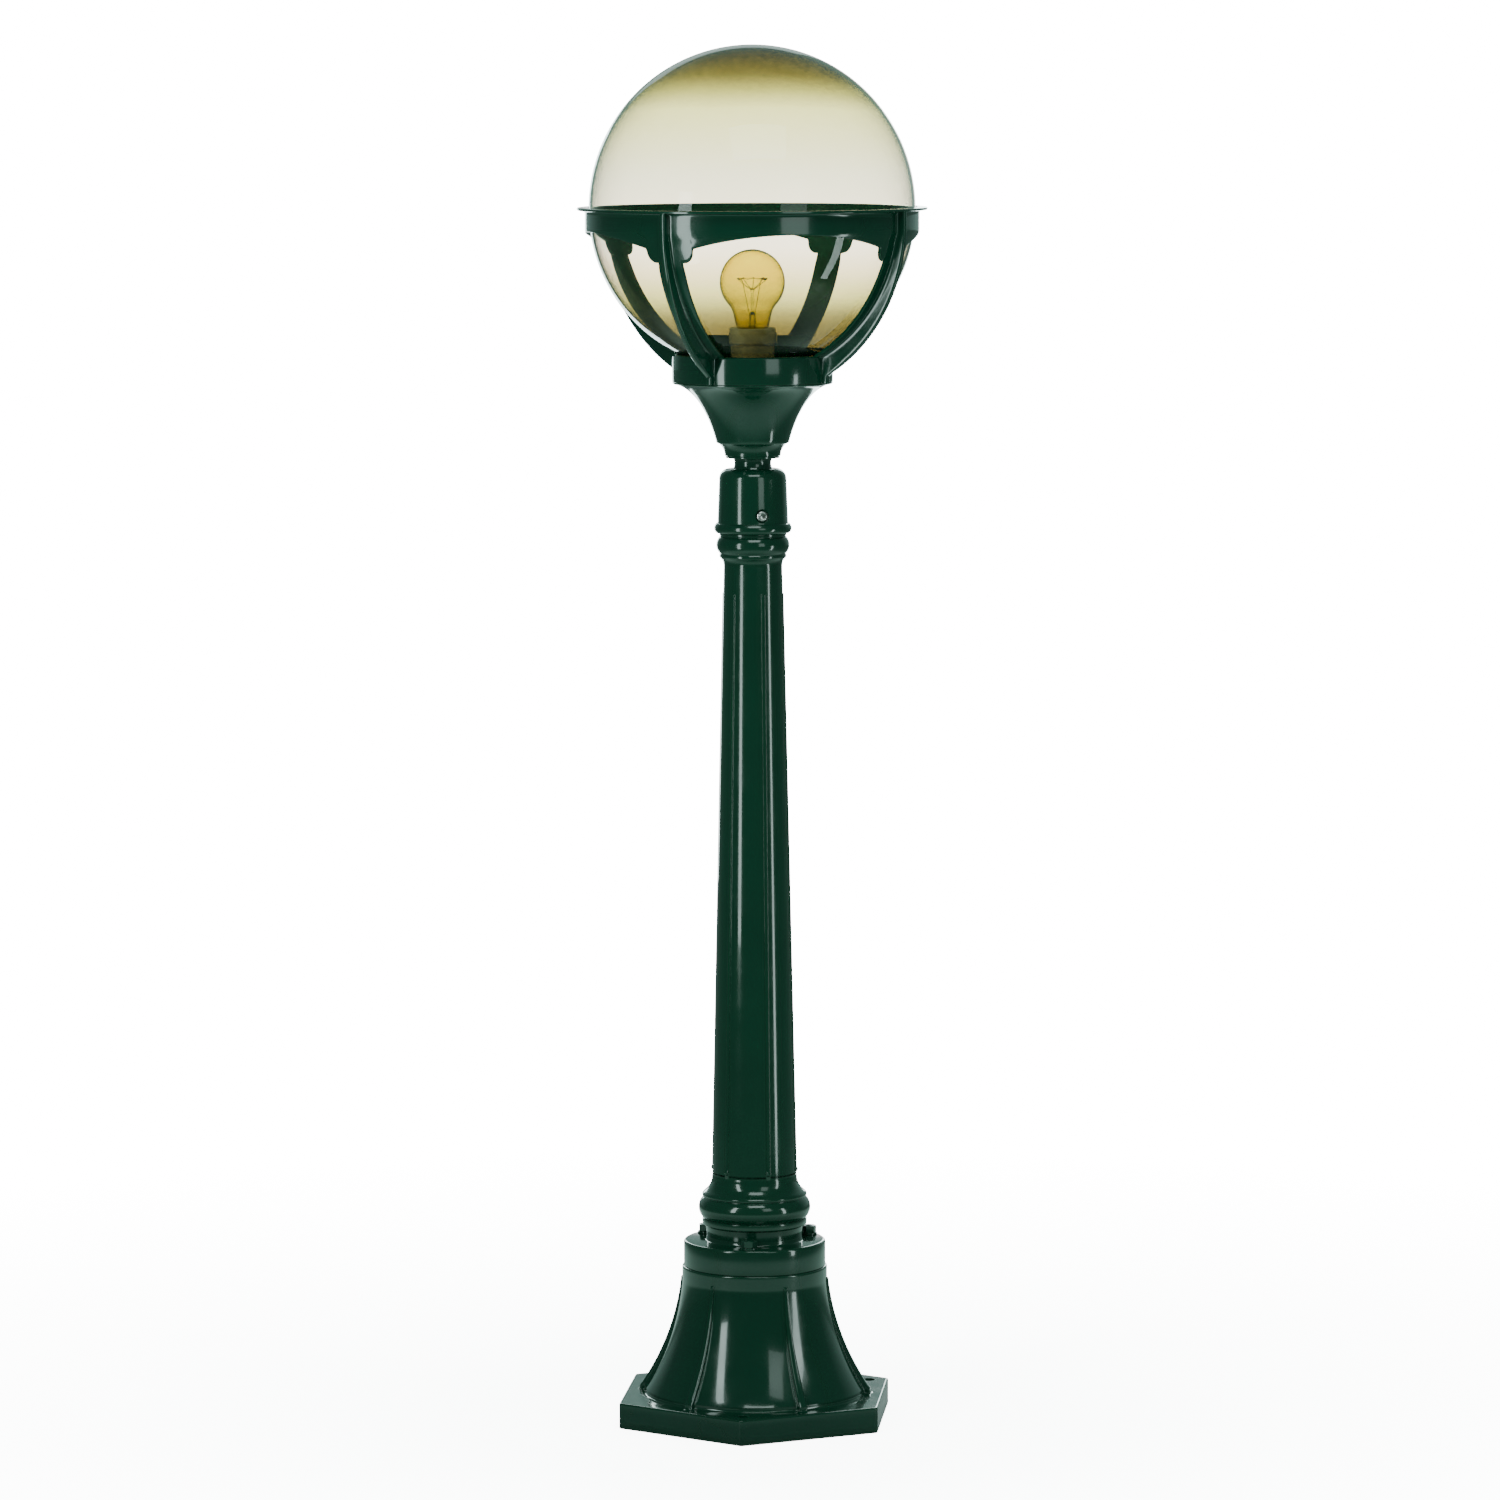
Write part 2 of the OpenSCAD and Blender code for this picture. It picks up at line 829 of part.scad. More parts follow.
module gear_tray() {
    t = lampholder_z - gallery_top;
    back_y = 28;
    color(green)
        difference() {
            union() {
                translate([0, 0, gallery_top])
                    cylinder(r = 46, h = t);
                translate([0, back_y + t, 0])
                    rotate([90, 0, 0])
                        linear_extrude(t)
                            polygon([
                                [-28, gallery_top], [28, gallery_top], [30, collar_top - 2],
                                [39, collar_top + 3.5], [53, collar_top + 15.5],
                                [-53, collar_top + 15.5], [-39, collar_top + 3.5],
                                [-30, collar_top - 2]
                            ]);
            }
            translate([0, 0, gallery_top - 1])
                cylinder(r = stem_r, h = t + 2);
            for (x = [-1, 1])
                translate([x * tray_screw_x, 0, gallery_top - 1])
                    cylinder(r = tray_screw_r, h = t + 2);
        }
}

module lampholder_body() {
    color("beige")
        difference() {
            translate([0, 0, lampholder_z])
                cylinder(r = lampholder_r, h = lampholder_body_h);
            translate([0, 0, lampholder_z - 1])
                cylinder(r = stem_r + 0.6, h = 5);
            translate([0, 0, lampholder_z + 7])
                cylinder(r = 9, h = 30);
            translate([0, 0, contact_z + 1])
                cylinder(r = shell_cavity_r, h = 30);
            for (x = [-1, 1])
                translate([x * tray_screw_x, 0, lampholder_z - 1])
                    cylinder(r = tray_screw_r, h = 9);
        }
}

module lampholder_skirt() {
    z0 = lampholder_z + lampholder_body_h;
    color("beige")
        difference() {
            tube(skirt_r, shell_cavity_r, z0, z0 + skirt_hgt);
            translate([0, 0, cap_top])
                cylinder(r = 18.5, h = 20);
        }
}

module lampholder_screws() {
    head_h = 2.2;
    color(steel)
        for (x = [-1, 1])
            translate([x * tray_screw_x, 0, gallery_top - head_h]) {
                difference() {
                    cylinder(r = 3.2, h = head_h);
                    translate([-0.4, -4, -0.5])
                        cube([0.8, 8, 1.4]);
                }
                cylinder(r = tray_screw_r, h = head_h + 8);
            }
}

module screw_shell() {
    color(brass)
        tube(shell_cavity_r, cap_r + 0.3, contact_z + 1.5, cap_top - 1);
}

module socket_contact() {
    top = contact_z - 0.3;
    floor_z = lampholder_z + 7;
    color(brass) {
        translate([-3, -7, floor_z])
            cube([6, 14, 0.6]);
        translate([-3, 4.5, floor_z + 0.6 - eps])
            cube([6, 0.6, top - floor_z - 0.6 + eps]);
        translate([-3, -3.5, top - 0.6])
            cube([6, 8.6, 0.6]);
    }
}

// ---- Globe ----

module globe() {
    shoulder = globe_z - sqrt(globe_r * globe_r - globe_neck_r * globe_neck_r);
    color([0.85, 0.82, 0.7, 0.35])
        difference() {
            union() {
                intersection() {
                    translate([0, 0, globe_z])
                        sphere(r = globe_r, $fn = 180);
                    translate([0, 0, shoulder])
                        cylinder(r = globe_r + 1, h = 2 * globe_r + 1);
                }
                translate([0, 0, neck_bottom])
                    cylinder(r = globe_neck_r, h = shoulder - neck_bottom + 1);
            }
            translate([0, 0, globe_z])
                sphere(r = globe_r - globe_wall, $fn = 180);
            translate([0, 0, neck_bottom - 1])
                cylinder(r = globe_neck_r - globe_wall, h = shoulder - neck_bottom + 5);
        }
}

// ---- Lamp bulb ----

module bulb_contact() {
    color(brass)
        translate([0, 0, contact_z])
            cylinder(r1 = 3.6, r2 = 4.6, h = 1.4);
}

module bulb_insulator() {
    color([0.05, 0.05, 0.06])
        translate([0, 0, contact_z + 1.4])
            cylinder(r1 = 5.2, r2 = cap_r - 2.5, h = 3.1);
}

module bulb_cap() {
    color(steel)
        difference() {
            translate([0, 0, contact_z + 4.5])
                union() {
                    cylinder(r1 = cap_r - 2, r2 = cap_r, h = 2.5);
                    translate([0, 0, 2.5])
                        cylinder(r = cap_r, h = cap_top - contact_z - 7);
                }
            translate([0, 0, contact_z + 7.5])
                cylinder(r = cap_r - 0.4, h = 40);
        }
}

// Outline of the bulb's envelope, drawn in by an inset.
function bulb_outline(inset) =
    let (
        r = bulb_r - inset,
        tangent = 42,
        low = [r * cos(tangent), bulb_centre - r * sin(tangent)],
        mouth_r = cap_r - 0.7 - inset
    )
    concat(
        [[mouth_r, cap_top - 6], [mouth_r, cap_top]],
        bezier([mouth_r + 1.2, cap_top + 2],
               [mouth_r + 5.2, cap_top + 16],
               low - 9 * [sin(tangent), cos(tangent)],
               low),
        [for (a = [-tangent + 6 : 6 : 90]) [r * cos(a), bulb_centre + r * sin(a)]]
    );

module bulb_glass() {
    color([0.9, 0.85, 0.6, 0.3])
        rotate_extrude()
            difference() {
                polygon(concat([[0, cap_top - 6]], bulb_outline(0)));
                polygon(concat([[0, cap_top - 7]], [[cap_r - 1.5, cap_top - 7]], bulb_outline(0.8)));
            }
}

module bulb_stem() {
    color([0.85, 0.9, 0.85, 0.5])
        rotate_extrude()
            polygon(concat(
                [[0, stem_flare_z]],
                arc([cap_r - 2.6, stem_flare_z], [3.6, stem_flare_z + 9], -2, 8),
                [[3.2, pinch_z], [1.3, pinch_z + 3], [1.3, button_z - 2], [2, button_z], [0, button_z + 1.6]]
            ));
}

// A straight round wire between two points.
module wire(p, q, r) {
    v = q - p;
    translate(p)
        rotate([0, acos(v[2] / norm(v)), atan2(v[1], v[0])])
            cylinder(r = r, h = norm(v), $fn = 16);
}

module bulb_wires() {
    color(steel) {
        for (a = support_angles)
            wire([1.8 * cos(a), 1.8 * sin(a), button_z + 0.2],
                 [(filament_r - 0.6) * cos(a), (filament_r - 0.6) * sin(a), filament_z], 0.2);
        for (a = lead_angles)
            wire([3 * cos(a), 3 * sin(a), pinch_z - 2],
                 [(filament_r - 0.7) * cos(a), (filament_r - 0.7) * sin(a), filament_z], 0.35);
    }
}

module bulb_filament() {
    color([0.3, 0.3, 0.3])
        translate([0, 0, filament_z])
            rotate([0, 0, lead_angles[0]])
                rotate_extrude(angle = 270)
                    translate([filament_r, 0])
                        circle(r = 0.5, $fn = 16);
}

base_casting();
column_foot();
flange_bolts();
flange_washers();
flange_nuts();
column_shaft();
column_capital();
post_spigot();
terminal_bracket();
terminal_screws();
terminal_block();
earth_screw();
inner_cable();
head_sleeve();
set_screws();
neck_spacer();
cup();
stem_nipple();
stem_nuts();
basket_collar();
basket_arm_1();
basket_arm_2();
basket_arm_3();
basket_arm_4();
basket_rim();
basket_screws();
globe_gasket();
gear_tray();
lampholder_body();
lampholder_skirt();
lampholder_screws();
screw_shell();
socket_contact();
globe();
bulb_contact();
bulb_insulator();
bulb_cap();
bulb_glass();
bulb_stem();
bulb_wires();
bulb_filament();
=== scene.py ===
"""Pedestal lantern: a smoked clear globe in a four-arm cast basket, on a ribbed column.

Outlines and sizes are millimetres and become metres when a mesh is built. Directions are
degrees from the base plate's -Y corner, positive towards +X, as in the CAD model.
"""
from math import asin, atan2, cos, degrees, pi, radians, sin, sqrt, tan

import bmesh
import bpy
from mathutils import Matrix, Vector

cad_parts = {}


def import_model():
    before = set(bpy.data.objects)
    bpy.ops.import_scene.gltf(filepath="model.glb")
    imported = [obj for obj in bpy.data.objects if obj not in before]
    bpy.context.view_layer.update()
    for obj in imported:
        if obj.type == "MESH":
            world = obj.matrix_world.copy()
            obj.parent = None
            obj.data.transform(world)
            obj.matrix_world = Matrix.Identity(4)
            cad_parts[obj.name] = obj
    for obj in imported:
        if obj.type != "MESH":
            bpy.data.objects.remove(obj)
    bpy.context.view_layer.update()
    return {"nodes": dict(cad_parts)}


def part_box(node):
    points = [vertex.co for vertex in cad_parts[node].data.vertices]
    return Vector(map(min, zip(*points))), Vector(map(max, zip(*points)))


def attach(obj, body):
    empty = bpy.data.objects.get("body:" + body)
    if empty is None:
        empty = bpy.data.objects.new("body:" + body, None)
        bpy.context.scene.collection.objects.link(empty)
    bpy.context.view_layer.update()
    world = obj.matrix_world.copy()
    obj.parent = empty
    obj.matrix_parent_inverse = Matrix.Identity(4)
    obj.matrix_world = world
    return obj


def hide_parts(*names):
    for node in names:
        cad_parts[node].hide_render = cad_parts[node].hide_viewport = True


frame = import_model()

MM = 0.001


def low(node):
    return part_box(node)[0].z / MM


def high(node):
    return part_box(node)[1].z / MM


def reach(node):
    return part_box(node)[1].x / MM


# ---- driving sizes

BELL_TOP = high("base_casting")
FLANGE_TOP = low("flange_washers")
SHAFT_BOTTOM = high("column_foot")
SHAFT_TOP = high("column_shaft")
HEAD_Z = low("head_sleeve")
SLEEVE_TOP = high("head_sleeve")
CUP_BOTTOM = low("cup")
BASKET_Z = high("cup")
COLLAR_TOP = high("basket_collar")
GLOBE_R = reach("globe")
GLOBE_Z = high("globe") - GLOBE_R
RIM_R = reach("basket_rim")
RIM_TOP = high("basket_rim")
FLANGE_R = reach("column_foot")
CONTACT_Z = low("bulb_contact")
LAMPHOLDER_Z = low("lampholder_body")
SET_SCREW_Z = (low("set_screws") + high("set_screws")) / 2
WASHER_R = 8
BOLT_CIRCLE_R = -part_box("flange_washers")[0].y / MM - WASHER_R

ANCHOR_ANGLES = (0, 120, 240)
BELL_RIB_ANGLES = tuple(range(30, 390, 60))
SHAFT_RIB_ANGLES = tuple(24.5 + 60 * k for k in range(6))
SET_SCREW_ANGLES = (21, 141, 261)
ARM_ANGLES = (-25, 65, 155, 245)

SEGMENTS = 144


# ---- outlines


def polar(r, angle, z):
    a = radians(angle)
    return Vector((r * sin(a), -r * cos(a), z)) * MM


def rounded(points, steps=5):
    """An (r, z) outline whose corners are rounded where a point has a third number, the radius."""
    out = []
    for i, point in enumerate(points):
        here = Vector(point[:2])
        radius = point[2] if len(point) > 2 else 0
        if not radius or i in (0, len(points) - 1):
            out.append(tuple(here))
            continue
        before = (Vector(points[i - 1][:2]) - here).normalized()
        after = (Vector(points[i + 1][:2]) - here).normalized()
        half = before.angle(after) / 2
        cut = radius / tan(half)
        centre = here + (before + after).normalized() * radius / sin(half)
        start = here + before * cut - centre
        sweep = start.angle_signed(here + after * cut - centre)
        for k in range(steps + 1):
            turned = Matrix.Rotation(-sweep * k / steps, 2) @ start
            out.append(tuple(centre + turned))
    return out


def arc(p, q, sag, n=12):
    """Points of a circular arc from p to q that stands off its chord by sag."""
    p, q = Vector(p), Vector(q)
    chord = (q - p).length
    along = (q - p) / chord
    side = Vector((along.y, -along.x))
    radius = (chord * chord / 4 + sag * sag) / (2 * abs(sag))
    half = asin(min(1, chord / 2 / radius))
    sign = 1 if sag > 0 else -1
    centre = (p + q) / 2 + side * (sag - sign * radius)
    return [
        tuple(centre + sign * radius * side * cos(t) + radius * along * sin(t))
        for t in (half * (2 * i / n - 1) for i in range(n + 1))
    ]


def bezier(a, b, c, d, n=20):
    a, b, c, d = (Vector(p) for p in (a, b, c, d))
    out = []
    for i in range(n + 1):
        t = i / n
        s = 1 - t
        out.append(tuple(s * s * s * a + 3 * s * s * t * b + 3 * s * t * t * c + t * t * t * d))
    return out


def smooth(t):
    t = min(1, max(0, t))
    return t * t * (3 - 2 * t)


def on_line(points, x):
    """The height at x of a line through (x, height) points, level past its ends."""
    for (x0, h0), (x1, h1) in zip(points, points[1:]):
        if x <= x1 + 1e-9:
            t = min(1, max(0, (x - x0) / (x1 - x0)))
            return h0 + (h1 - h0) * t
    return points[-1][1]


def arc_radius(p, q, sag):
    """A function that gives the radius at a height on the arc of arc()."""
    points = sorted((z, r) for r, z in arc(p, q, sag, 60))
    return lambda z: on_line(points, z)


# ---- mesh building


def circle(r, z, segments=SEGMENTS):
    """One row of points; a row with no radius is a single point on the axis."""
    if r < 1e-6:
        return [polar(0, 0, z)]
    return [polar(r, 360 * k / segments, z) for k in range(segments)]


def lathe(outline, segments=SEGMENTS):
    return [circle(r, z, segments) for r, z in outline]


def moved(rows, matrix):
    return [[matrix @ p for p in row] for row in rows]


def rotation(angle, axis):
    return Matrix.Rotation(radians(angle), 4, axis)


def outward(angle, radius, z):
    """Places rows built about the vertical axis at a point round the object."""
    spot = Matrix.Translation(polar(radius, angle, z))
    return spot @ rotation(angle, "Z")


def sideways(angle, radius, z):
    """The same, with the rows' axis lying down and pointing outwards."""
    return outward(angle, radius, z) @ rotation(90, "X")


def add_rows(bm, rows, loop):
    """Joins rows of points with faces, each row closed on itself, and the last to the first."""
    made = [[bm.verts.new(p) for p in row] for row in rows]
    pairs = list(zip(made, made[1:]))
    if loop:
        pairs.append((made[-1], made[0]))
    for a, b in pairs:
        count = max(len(a), len(b))
        for i in range(count):
            j = (i + 1) % count
            if len(a) == 1:
                bm.faces.new((a[0], b[j], b[i]))
            elif len(b) == 1:
                bm.faces.new((a[i], a[j], b[0]))
            else:
                bm.faces.new((a[i], a[j], b[j], b[i]))
    return made


def add_to_scene(obj):
    bpy.context.scene.collection.objects.link(obj)


def finish_object(name, mesh, material, body, nodes, sharp=32):
    mesh.materials.clear()
    mesh.materials.append(material)
    mesh.shade_smooth()
    mesh.set_sharp_from_angle(angle=radians(sharp))
    obj = bpy.data.objects.new(name, mesh)
    add_to_scene(obj)
    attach(obj, body)
    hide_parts(*nodes)
    return obj


def mesh_of(name, bm):
    bmesh.ops.recalc_face_normals(bm, faces=bm.faces)
    mesh = bpy.data.meshes.new(name)
    bm.to_mesh(mesh)
    bm.free()
    return mesh


def shells(name, rows_list, loop=False):
    """A mesh of one or more closed shells. With loop, each shell's last row joins its first."""
    bm = bmesh.new()
    for rows in rows_list:
        add_rows(bm, rows, loop)
    return mesh_of(name, bm)


def combined(name, mesh, other, operation):
    """The exact boolean of two meshes, as a new mesh."""
    pair = [bpy.data.objects.new(name, m) for m in (mesh, other)]
    for obj in pair:
        add_to_scene(obj)
    boolean = pair[0].modifiers.new("boolean", "BOOLEAN")
    boolean.operation = operation
    boolean.solver = "EXACT"
    boolean.object = pair[1]
    graph = bpy.context.evaluated_depsgraph_get()
    result = bpy.data.meshes.new_from_object(pair[0].evaluated_get(graph))
    result.name = name
    for obj in pair:
        bpy.data.objects.remove(obj)
    return result


def wire_mesh(name, paths, radius, sides=2):
    """Round wires along lists of points, closed at their ends."""
    curve = bpy.data.curves.new(name, "CURVE")
    curve.dimensions = "3D"
    curve.bevel_depth = radius * MM
    curve.bevel_resolution = sides
    curve.use_fill_caps = True
    for path in paths:
        spline = curve.splines.new("POLY")
        spline.points.add(len(path) - 1)
        for point, place in zip(spline.points, path):
            point.co = (*place, 1)
    obj = bpy.data.objects.new(name, curve)
    add_to_scene(obj)
    graph = bpy.context.evaluated_depsgraph_get()
    tubes = bpy.data.meshes.new_from_object(obj.evaluated_get(graph))
    bpy.data.objects.remove(obj)
    bm = bmesh.new()
    bm.from_mesh(tubes)
    bmesh.ops.remove_doubles(bm, verts=bm.verts, dist=1e-6)
    return mesh_of(name, bm)


def casting(name, mesh, body, nodes, sharp=32):
    finish_object(name, mesh, GREEN, body, nodes, sharp)


def turned_casting(name, outline, body, node, segments=SEGMENTS):
    """A painted casting that is its outline turned round the vertical axis."""
    casting(name, shells(name, [lathe(outline, segments)], loop=True), body, [node])


# ---- materials


class Nodes:
    """A node tree, and short calls to add nodes to it."""

    def __init__(self, tree):
        self.tree = tree

    def node(self, kind, links=None, **settings):
        made = self.tree.nodes.new("ShaderNode" + kind)
        for key, value in settings.items():
            setattr(made, key, value)
        for key, value in (links or {}).items():
            self.plug(value, made.inputs[key])
        return made

    def plug(self, value, socket):
        """Links a socket's value, or sets a plain one."""
        if isinstance(value, bpy.types.NodeSocket):
            self.tree.links.new(value, socket)
        else:
            socket.default_value = value

    def ramp(self, factor, stops):
        ramp = self.node("ValToRGB", {"Fac": factor})
        elements = ramp.color_ramp.elements
        while len(elements) < len(stops):
            elements.new(0.5)
        for element, (position, colour) in zip(elements, stops):
            element.position = position
            element.color = (*colour, 1)
        return ramp.outputs["Color"]

    def span(self, value, low_in, high_in, low_out, high_out):
        links = {
            "Value": value, "From Min": low_in, "From Max": high_in,
            "To Min": low_out, "To Max": high_out,
        }
        return self.node("MapRange", links).outputs[0]

    def maths(self, operation, a, b):
        return self.node("Math", {0: a, 1: b}, operation=operation).outputs[0]

    def mix_colour(self, factor, a, b):
        """A colour mix whose sockets are found by name and kind."""
        made = self.node("Mix", data_type="RGBA")
        wanted = {("Factor", "VALUE"): factor, ("A", "RGBA"): a, ("B", "RGBA"): b}
        for socket in made.inputs:
            if (socket.name, socket.type) in wanted:
                self.plug(wanted[socket.name, socket.type], socket)
        return [socket for socket in made.outputs if socket.type == "RGBA"][0]

    def mix_shader(self, factor, a, b):
        return self.node("MixShader", {"Fac": factor, 1: a, 2: b}).outputs[0]


class Shade(Nodes):
    """A material with one Principled shader."""

    def __init__(self, name, colour, **values):
        self.material = bpy.data.materials.new(name)
        self.material.use_nodes = True
        super().__init__(self.material.node_tree)
        self.shader = self.tree.nodes["Principled BSDF"]
        self.shader.inputs["Base Color"].default_value = (*colour, 1)
        for key, value in values.items():
            self.shader.inputs[key.replace("_", " ")].default_value = value
        self.place = self.node("TexCoord").outputs["Object"]

    def noise(self, scale, detail=2.0, stretch=None):
        """Noise whose grains are about 1/scale metres across."""
        place = self.place
        if stretch:
            place = self.node("Mapping", {"Vector": place, "Scale": stretch}).outputs[0]
        links = {"Vector": place, "Scale": scale, "Detail": detail}
        return self.node("TexNoise", links).outputs["Fac"]

    def bump(self, layers):
        """Stacks bumps: each layer is a height in 0 to 1 and what 1 stands for in metres."""
        normal = None
        for height, distance in layers:
            links = {"Height": height, "Distance": distance, "Strength": 1.0}
            if normal:
                links["Normal"] = normal
            normal = self.node("Bump", links).outputs["Normal"]
        self.plug(normal, self.shader.inputs["Normal"])

    def colour(self, socket):
        self.plug(socket, self.shader.inputs["Base Color"])

    def roughness(self, socket):
        self.plug(socket, self.shader.inputs["Roughness"])


def powder_coat():
    """Deep green gloss paint over castings: orange peel, faint flow marks and thin edges."""
    deep = (0.0012, 0.030, 0.0215)
    s = Shade("powder_coat_green", deep, Coat_Weight=0.6, Coat_Roughness=0.04, Coat_IOR=1.5)
    tone = s.noise(9.0, 3.0)
    body = s.ramp(tone, [(0.3, (0.0019, 0.046, 0.0235)), (0.7, (0.0026, 0.056, 0.0290))])
    edge = s.node("NewGeometry").outputs["Pointiness"]
    thin = s.span(edge, 0.56, 0.70, 0.0, 0.55)
    patches = s.span(s.noise(160.0, 3.0), 0.42, 0.62, 0.0, 1.0)
    worn = s.maths("MULTIPLY", thin, patches)
    s.colour(s.mix_colour(worn, body, (0.006, 0.075, 0.055, 1)))
    s.roughness(s.span(s.noise(45.0, 3.0), 0.3, 0.7, 0.10, 0.19))
    flow = s.noise(70.0, 1.0)
    peel = s.noise(420.0, 1.0)
    specks = s.node("TexVoronoi", {"Vector": s.place, "Scale": 32.0}).outputs["Distance"]
    nib = s.span(specks, 0.0, 0.018, 1.0, 0.0)
    s.bump([(flow, 0.00003), (peel, 0.0000045), (nib, 0.00015)])
    return s.material


def metal(name, dark, light, scale, rough, bump_depth, stretch=None):
    """Bare metal with a spangle or a drawn grain."""
    s = Shade(name, light, Metallic=1.0)
    grain = s.noise(scale, 4.0, stretch)
    s.colour(s.ramp(grain, [(0.32, dark), (0.68, light)]))
    s.roughness(s.span(s.noise(scale * 1.7, 3.0, stretch), 0.3, 0.7, rough * 0.75, rough * 1.3))
    s.bump([(grain, bump_depth)])
    return s.material


def moulded(name, dark, light, rough, scale=140.0, peel=0.00002, **values):
    """A moulded or fired surface: soft mottling and a fine skin."""
    s = Shade(name, light, **values)
    s.colour(s.ramp(s.noise(scale / 4, 4.0), [(0.3, dark), (0.7, light)]))
    s.roughness(s.span(s.noise(scale, 3.0), 0.3, 0.7, rough * 0.8, rough * 1.2))
    s.bump([(s.noise(scale * 6, 2.0), peel)])
    return s.material


def smoke_and_painted_reflection_glass():
    """Tint painted by height, partly the glass's own smoke and partly painted reflection of the dark
    room: clear at the middle of the globe, olive towards the top and amber towards the neck.
    """
    s = Shade("smoke_and_painted_reflection_glass", (1, 1, 1), Roughness=0.0, Transmission_Weight=1.0, IOR=1.45)
    height = s.node("SeparateXYZ", {"Vector": s.place}).outputs["Z"]
    bottom = (GLOBE_Z - GLOBE_R) * MM
    top = (GLOBE_Z + GLOBE_R) * MM
    level = s.span(height, bottom, top, 0.0, 1.0)
    cloud = s.span(s.noise(7.0, 2.0), 0.0, 1.0, -0.02, 0.02)
    level = s.maths("ADD", level, cloud)
    # Tint by height: partly smoke in the glass, partly painted reflection, darkest at the crown and
    # the neck.
    tint = s.ramp(level, [
        (0.00, (0.22, 0.19, 0.08)),
        (0.10, (0.29, 0.25, 0.115)),
        (0.155, (0.35, 0.315, 0.15)),
        (0.22, (0.67, 0.65, 0.35)),
        (0.30, (0.86, 0.80, 0.58)),
        (0.39, (0.96, 0.91, 0.78)),
        (0.60, (0.82, 0.81, 0.66)),
        (0.80, (0.75, 0.745, 0.45)),
        (0.86, (0.52, 0.51, 0.24)),
        (0.91, (0.30, 0.28, 0.13)),
        (1.00, (0.14, 0.13, 0.08)),
    ])
    s.colour(tint)
    s.bump([(s.noise(9.0, 1.0), 0.00004)])
    return s.material


def clear_glass(name, tint):
    s = Shade(name, tint, Roughness=0.0, Transmission_Weight=1.0, IOR=1.7)
    s.colour(s.ramp(s.noise(40.0, 2.0), [(0.3, tuple(0.97 * c for c in tint)), (0.7, tint)]))
    return s.material


GREEN = powder_coat()
ZINC = metal("zinc_plate", (0.42, 0.43, 0.45), (0.62, 0.63, 0.65), 260.0, 0.34, 0.00001)
STEEL = metal("stainless", (0.50, 0.49, 0.47), (0.70, 0.69, 0.67), 300.0, 0.22, 0.000008, (1, 1, 0.1))
BRASS = metal("brass", (0.55, 0.38, 0.14), (0.78, 0.58, 0.26), 220.0, 0.25, 0.000008)
CAP_METAL = metal("lamp_cap", (0.55, 0.53, 0.50), (0.74, 0.72, 0.69), 180.0, 0.3, 0.00001)
# Wire metal far darker than bare tungsten: painted shade for the wires that look dark inside the bulb.
DARKENED_WIRE_METAL = metal("tungsten", (0.02, 0.018, 0.016), (0.06, 0.055, 0.05), 900.0, 0.4, 0.000004)
PORCELAIN = moulded("porcelain", (0.84, 0.74, 0.56), (0.92, 0.83, 0.66), 0.24, Coat_Weight=0.5)
RUBBER = moulded("gasket_rubber", (0.010, 0.010, 0.010), (0.022, 0.022, 0.021), 0.62, peel=0.00005)
SHEATH = moulded("cable_sheath", (0.012, 0.012, 0.013), (0.03, 0.03, 0.031), 0.45, peel=0.00003)
BLOCK = moulded("block_plastic", (0.58, 0.56, 0.49), (0.72, 0.70, 0.63), 0.38)
INSULATOR = moulded("black_glass", (0.004, 0.004, 0.006), (0.012, 0.012, 0.016), 0.12, peel=0.000005)
GLOBE_GLASS = smoke_and_painted_reflection_glass()
LAMP_GLASS = clear_glass("lamp_glass", (0.95, 0.84, 0.20))
STEM_GLASS = clear_glass("stem_glass", (0.93, 0.95, 0.93))


# ---- ribbed castings

RIB_SECTION = (
    (0.0, 1.0), (0.45, 1.0), (0.7, 0.985), (0.84, 0.93), (0.93, 0.80), (0.985, 0.55),
    (1.02, 0.30), (1.08, 0.13), (1.18, 0.045), (1.34, 0.01), (1.55, 0.0),
)


def rib_columns(gap_steps):
    """Columns round a ribbed casting: each is (rib number, offset in half widths, gap share)."""
    last = RIB_SECTION[-1][0]
    columns = []
    for rib in range(6):
        for u, _ in reversed(RIB_SECTION[1:]):
            columns.append((rib, -u, None))
        for u, _ in RIB_SECTION:
            columns.append((rib, u, None))
        for share in gap_steps:
            columns.append((rib, last, share))
    return columns


def ribbed_row(columns, angles, radius, z, half_width, height):
    """One row of a ribbed surface; radius may be a function of the angle."""
    radius_at = radius if callable(radius) else lambda angle: radius
    spread = degrees(half_width / radius_at(0))
    row = []
    for rib, u, share in columns:
        angle = angles[rib] + u * spread
        lift = on_line(RIB_SECTION, abs(u)) * height
        if share is not None:
            angle += share * (60 - 2 * u * spread)
            lift = 0
        row.append(polar(radius_at(angle) + lift, angle, z))
    return row


# ---- base

PLATE_FLATS = 240
PLATE_H = 24
PLATE_CORNER_R = 4
PLATE_EDGE_R = 1.6
ANCHOR_CIRCLE_R = 118
ANCHOR_R = 5.5
BELL_FOOT_R = 102
BELL_NECK_R = 67.5
BELL_CAVITY_R = BELL_FOOT_R - 4
BELL_CAVITY_TOP_R = 63.5
BELL_FLARE_SAG = 6.5
BELL_RIB_TOP = 132.5
BELL_FLARE_TOP = 130
BELL_RIB_FOOT_HALF = 4.1
BELL_RIB_TOP_HALF = 1.75
BELL_RIB_FOOT_H = 6.0
BELL_RIB_TOP_H = 1.5
BELL_ROOF = 8
CABLE_HOLE_R = 20


